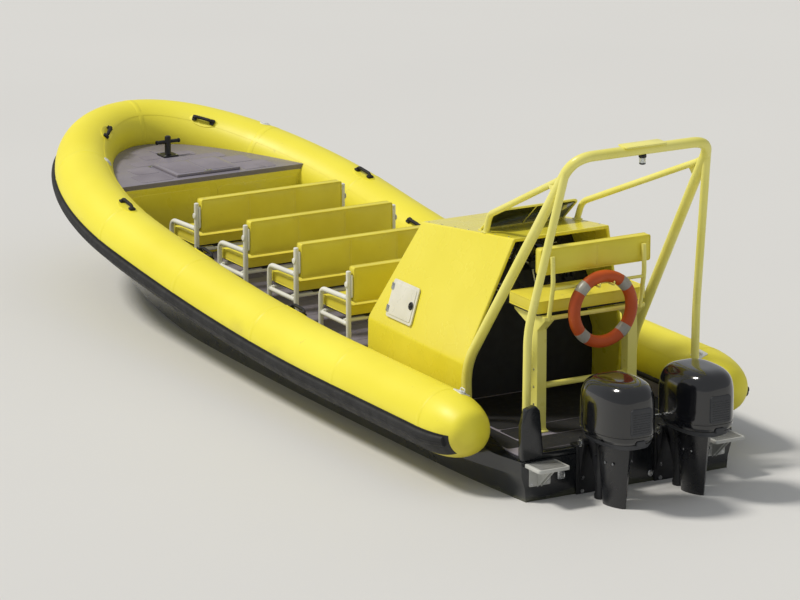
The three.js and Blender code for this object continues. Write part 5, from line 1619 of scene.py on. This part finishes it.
class BOAT_OT_motors(bpy.types.Operator):
    """Twin outboard motors with their brackets, propellers and tie bar"""

    bl_idname = "boat.motors"
    bl_label = "Outboard Motors"

    def execute(self, context):
        for side, y in SIDES.items():
            self.bracket(side, y)
            self.head(side, y)
            self.leg(side, y)
            propeller = f"{side}_propeller"
            put(f"{propeller}_blades", propeller_shape().moved((-4.611, y, SHAFT_Z)), "black_marine_enamel",
                body=propeller, slot="propeller_metal", replaces=[propeller], sharp=40)
        half = SIDES["port"]
        bar = Shape().pipe([(TIE_BAR_X, -half, TIE_BAR_Z), (TIE_BAR_X, half, TIE_BAR_Z)], 0.0105, sides=18)
        for y in (half, -half):
            bar.turned([(0.017, -0.0145), (0.02, -0.012), (0.02, 0.009), (0.014, 0.012), (0.008, 0.014)],
                       (TIE_BAR_X, y, TIE_BAR_Z), segments=28)
            for offset in (0.03, 0.044):
                bar.turned([(0.016, -0.005), (0.0165, -0.004), (0.0165, 0.004), (0.016, 0.005)],
                           (TIE_BAR_X, y - copysign(offset, y), TIE_BAR_Z), (0, 1, 0), 6)
        put("tie_bar_rod", bar, "brushed_stainless", body="tie_bar", replaces=["tie_bar"])
        return {"FINISHED"}

    def bracket(self, side, y):
        clamp = cad_shape(f"{side}_clamp_bracket", 0.0035)
        put(f"{side}_clamp_casting", clamp, "black_powder_coat", replaces=[f"{side}_clamp_bracket"], weighted=True)
        spots = [((-4.178, y + a, z), (-1, 0, 0)) for a in (-0.062, 0.062) for z in (0.02, 0.12)]
        fasteners(f"{side}_transom_bolts", spots, 0.01, 0.007)
        nuts = [((TILT_X, y + sign * 0.097, TILT_Z), (0, sign, 0)) for sign in (1, -1)]
        fasteners(f"{side}_tilt_tube_nuts", nuts, 0.02, 0.012)
        swivel = Shape().turned([(0.026, -0.071), (0.028, -0.068), (0.028, -0.03), (0.025, -0.026), (0.025, 0.026),
                                 (0.028, 0.03), (0.028, 0.068), (0.026, 0.071)], (TILT_X, 0, TILT_Z), (0, 1, 0), 32)
        swivel.turned([(0.046, 0.0), (0.05, 0.004), (0.05, 0.03), (0.042, 0.045), (0.042, 0.39), (0.05, 0.404),
                       (0.05, 0.43), (0.046, 0.434)], (STEER_X, 0, 0), segments=36)
        link = [(STEER_X, 0.06), (STEER_X, 0.42), (-4.2, 0.418), (-4.19, 0.367), (-4.26, 0.25)]
        swivel.prism(link, "y", -0.036, 0.036, 0.006, 3)
        cheek = [(STEER_X, 0.08), (STEER_X, 0.4), (-4.21, 0.405), (-4.28, 0.25)]
        for low, high in ((-0.038, -0.03), (0.03, 0.038)):
            swivel.prism(cheek, "y", low, high, 0.002)
        for z in (0.12, 0.32):
            nipple = [(0.004, 0.04), (0.004, 0.05), (0.0025, 0.053), (0.0025, 0.056)]
            swivel.turned(nipple, (STEER_X, 0, z), (0, 1, 0), 10)
        put(f"{side}_swivel_casting", swivel.moved((0, y, 0)), "black_powder_coat", body=f"{side}_swivel",
            replaces=[f"{side}_swivel_bracket"])

    def head(self, side, y):
        body = f"{side}_motor"
        rows = spline(COWL_ROWS, 5)
        inner = [cowl_ring(row, 0.012) for row in rows if row[0] < 0.9]
        outer = [cowl_ring(row) for row in rows if row[0] < 0.57]
        # A shallow groove runs round the cover above its skirt
        waist = next(row for row in rows if row[0] >= 0.57)
        for z, inset in ((0.575, 0), (0.577, 0.0035), (0.585, 0.0035), (0.587, 0)):
            outer.append(cowl_ring((z, *waist[1:]), inset))
        outer += [cowl_ring(row) for row in rows if row[0] > 0.59]
        put(f"{side}_cowl_cover", hollow(outer, inner).moved((0, y, 0)), "black_cowl_lacquer", body=body,
            replaces=[f"{side}_cowl"], sharp=50)
        pan = Shape().loft([cowl_ring(row) for row in PAN_ROWS])
        # Rear vent surround, latch and rubber grommet
        pan.slab(-0.085, 0.085, 0.592, 0.79, 0.02, "x", -4.8535, -4.825, 0.004, 3)
        pan.slab(-0.035, 0.035, 0.512, 0.552, 0.008, "x", -4.852, -4.82, 0.004, 3)
        pan.turned([(0.018, 0.0), (0.018, 0.02), (0.012, 0.026), (0.01, 0.026)], (-4.275, 0.05, 0.5), (1, 0, 0), 20)
        put(f"{side}_cowl_pan", pan.moved((0, y, 0)), "grey_moulded_pan", body=body)
        pitch = set_sizes().slat_pitch
        slats(f"{side}_cowl_louvres", (-4.8495, y, 0.611), (0, 0, pitch), round(0.16 / pitch), (0.012, 0.14, 0.005),
              (0, 0.7, 0), "black_cowl_lacquer", body=body)
        ring = cowl_ring((0.5208, -4.2735, -4.8295, 0.1905))
        seal = Shape().pipe(ring + ring[:1], 0.0022, sides=8).moved((0, y, 0))
        put(f"{side}_cowl_seal", seal, "extruded_black_rubber", body=body)
        block = Shape().block((-4.7, -0.112, 0.5215), (-4.385, 0.112, 0.78), 0.014, 3)
        block.turned(
            [(0.1, 0.779), (0.105, 0.785), (0.105, 0.838), (0.09, 0.848), (0.03, 0.85)], (-4.5, 0, 0), segments=40)
        for z in (0.55 + 0.032 * i for i in range(7)):
            block.block((-4.69, -0.118, z), (-4.4, 0.118, z + 0.008), 0.002)
        put(f"{side}_powerhead_block", block.moved((0, y, 0)), "grey_cast_aluminium", body=body,
            replaces=[f"{side}_powerhead"])

    def leg(self, side, y):
        body = f"{side}_motor"
        leg = Shape().loft([leg_ring(row) for row in LEG_ROWS])
        plate = [(-4.32, 0), (-4.355, 0.035), (-4.42, 0.08), (-4.49, 0.103), (-4.56, 0.112), (-4.68, 0.111),
                 (-4.745, 0.105), (-4.757, 0.07), (-4.76, 0)]
        leg.prism(both_halves(plate), "z", -0.296, -0.284, 0.003, 3)
        lip = [(-4.4, 0), (-4.44, 0.06), (-4.52, 0.085), (-4.66, 0.08), (-4.68, 0.0)]
        leg.prism(both_halves(lip), "z", -0.152, -0.144, 0.002)
        torpedo = [(0.0, 0.0), (0.012, 0.006), (0.024, 0.02), (0.037, 0.046), (0.0475, 0.082), (0.053, 0.13),
                   (0.054, 0.18), (0.052, 0.24), (0.0495, 0.3), (0.046, 0.322), (0.044, 0.33)]
        leg.turned(torpedo, (-4.275, 0, SHAFT_Z), (-1, 0, 0), 40)
        skeg = [(-4.4, -0.49), (-4.56, -0.49), (-4.6, -0.69), (-4.585, -0.699), (-4.52, -0.7), (-4.47, -0.62)]
        leg.prism(skeg, "y", -0.007, 0.007, 0.003)
        arm = [(-4.158, 0.018), (-4.164, 0.024), (-4.28, 0.052), (-4.52, 0.052)]
        leg.prism(both_halves(arm), "z", 0.441, 0.474, 0.005, 3)
        leg.block((-4.47, -0.048, -0.046), (-4.29, 0.048, -0.007), 0.006, 3)
        leg.turned([(0.03, -0.02), (0.03, -0.006)], (STEER_X, 0, 0), segments=28)
        for sign in (1, -1):
            for out, z in ((0.075, 0.4), (0.046, -0.026)):
                leg.turned([(0.03, -0.012), (0.034, -0.008), (0.034, 0.01), (0.026, 0.016), (0.012, 0.016)],
                           (-4.47, sign * out, z), (0, sign, 0), 28)
        put(f"{side}_leg_casting", leg.moved((0, y, 0)), "black_marine_enamel", body=body,
            replaces=[f"{side}_motor_leg"], weighted=True)
        zinc = Shape().block((-4.752, y - 0.008, -0.336), (-4.722, y + 0.008, -0.295), 0.003)
        zinc.block((-4.462, y - 0.03, -0.05), (-4.31, y + 0.03, -0.045), 0.001)
        put(f"{side}_anodes", zinc, "sacrificial_zinc", body=body)
        for label, sign in (("port", 1), ("starboard", -1)):
            slats(f"{side}_water_inlet_{label}", (-4.47, y + sign * 0.0255, -0.345), (0, 0, -0.011), 6,
                  (0.05, 0.006, 0.005), (0, 0, -0.05 * sign), "grey_moulded_pan", body=body, slot="motor_paint")
        places = ((-4.53, 0.0985, 0.33), (-4.6, 0.0785, 0.33), (-4.53, 0.0425, -0.25))
        spots = [((x, y + sign * half, z), (0, sign, 0)) for sign in (1, -1) for x, half, z in places]
        fasteners(f"{side}_leg_bolts", spots, 0.007, 0.005, body=body)


# Stern steps


class BOAT_OT_steps(bpy.types.Operator):
    """Small boarding steps outboard of the motors"""

    bl_idname = "boat.steps"
    bl_label = "Stern Steps"

    def execute(self, context):
        for side, sign in (("port", 1), ("starboard", -1)):
            y = sign * 0.74
            step = Shape()
            step.slab(-4.37, -4.1603, y - 0.13, y + 0.13, 0.02, "z", 0.262, 0.289, 0.006, 3)
            for offset in (-0.016, 0.016):
                gusset = [(-4.1603, 0.1), (-4.1603, 0.263), (-4.34, 0.263), (-4.33, 0.25)]
                step.prism(gusset, "y", y + offset - 0.004, y + offset + 0.004, 0.001)
            step.slab(y - 0.09, y + 0.09, 0.11, 0.255, 0.012, "x", -4.166, -4.1603, 0.002)
            put(f"{side}_step_moulding", step, "grey_step_moulding", replaces=[f"{side}_stern_step"], weighted=True)
            slats(f"{side}_step_treads", (-4.352, y, 0.2885), (0.0195, 0, 0), 10, (0.009, 0.215, 0.0028), (0, 0, 0),
                  "black_polyethylene")
            spots = [((-4.166, y + a, z), (-1, 0, 0)) for a in (-0.07, 0.07) for z in (0.13, 0.235)]
            fasteners(f"{side}_step_bolts", spots, 0.0065, 0.0045)
        return {"FINISHED"}


# Stage


class BOAT_OT_finishes(bpy.types.Operator):
    """Builds the finishes and the geometry trees that the other operators use"""

    bl_idname = "boat.finishes"
    bl_label = "Finishes"

    def execute(self, context):
        build_finishes(bpy.context.scene.boat_colours)
        build_sweep_tree()
        build_fastener_tree()
        build_stitch_tree()
        build_slat_tree()
        return {"FINISHED"}


class BOAT_OT_stage(bpy.types.Operator):
    """The floor, the light and the camera"""

    bl_idname = "boat.stage"
    bl_label = "Stage"

    def execute(self, context):
        scene = bpy.context.scene
        settings = scene.boat_stage
        finish("pale_studio_floor", None, "#D8D8D6", "#D6D6D4", 6.0, (0.72, 0.78), 0.4, 0.0002)
        floor = Shape().block((-150, -150, -0.02), (150, 150, 0.0)).mesh("studio_floor")
        floor.materials.append(FINISHES["pale_studio_floor"])
        linked("studio_floor", floor)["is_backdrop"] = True
        world = bpy.data.worlds.new("studio_light")
        world.use_nodes = True
        world.node_tree.nodes.clear()
        sky = {"Color": linear("#F2F4F7"), "Strength": settings.fill}
        light = add_node(world.node_tree, "ShaderNodeBackground", sky).outputs[0]
        add_node(world.node_tree, "ShaderNodeOutputWorld", {"Surface": light})
        scene.world = world
        key = bpy.data.lights.new("key", "SUN")
        key.energy = settings.key
        key.angle = radians(11)
        key.color = linear("#FFFAF2")[:3]
        lamp = linked("key", key)
        lamp.rotation_euler = Vector((0.32, 0.55, 0.86)).to_track_quat("Z", "Y").to_euler()
        camera = bpy.data.cameras.new("camera")
        camera.lens = settings.lens
        camera.sensor_width = 36
        camera.clip_end = 400
        view = linked("camera", camera)
        view.location = (-33.17, 18.61, 10.6)
        aim = Vector((-0.69, -0.12, 0.55)) - view.location
        view.rotation_euler = aim.to_track_quat("-Z", "Y").to_euler()
        scene.camera = view
        scene.view_settings.view_transform = "Standard"
        return {"FINISHED"}


OPERATORS = [
    BOAT_OT_finishes, BOAT_OT_collar, BOAT_OT_hull, BOAT_OT_deck, BOAT_OT_benches, BOAT_OT_console, BOAT_OT_helm,
    BOAT_OT_arch, BOAT_OT_motors, BOAT_OT_steps, BOAT_OT_stage,
]


class BOAT_PT_panel(bpy.types.Panel):
    """Lists the boat's operators and settings"""

    bl_label = "Rigid Inflatable Boat"
    bl_idname = "BOAT_PT_panel"
    bl_space_type = "VIEW_3D"
    bl_region_type = "UI"
    bl_category = "Boat"

    def draw(self, context):
        for group in (context.scene.boat_sizes, context.scene.boat_colours, context.scene.boat_stage):
            box = self.layout.box()
            for key in group.bl_rna.properties.keys():
                if key not in ("rna_type", "name"):
                    box.prop(group, key)
        for operator in OPERATORS:
            self.layout.operator(operator.bl_idname)


GROUPS = {"boat_sizes": BoatSizes, "boat_colours": BoatColours, "boat_stage": BoatStage}


def register():
    for group in GROUPS.values():
        bpy.utils.register_class(group)
    for name, group in GROUPS.items():
        setattr(bpy.types.Scene, name, PointerProperty(type=group))
    for operator in OPERATORS:
        bpy.utils.register_class(operator)
    bpy.utils.register_class(BOAT_PT_panel)


def unregister():
    bpy.utils.unregister_class(BOAT_PT_panel)
    for operator in reversed(OPERATORS):
        bpy.utils.unregister_class(operator)
    for name, group in GROUPS.items():
        delattr(bpy.types.Scene, name)
        bpy.utils.unregister_class(group)


def corners():
    """The two corners of everything that shows, as plain lists."""
    return [list(corner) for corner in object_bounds()]


def main():
    register()
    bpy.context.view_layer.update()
    bpy.ops.boat.finishes()
    bpy.ops.boat.collar()
    bpy.ops.boat.hull()
    bpy.ops.boat.deck()
    bpy.ops.boat.benches()
    bpy.ops.boat.console()
    bpy.ops.boat.helm()
    bpy.ops.boat.arch()
    bpy.ops.boat.motors()
    bpy.ops.boat.steps()
    bpy.ops.boat.stage()


if __name__ == "__main__":
    main()
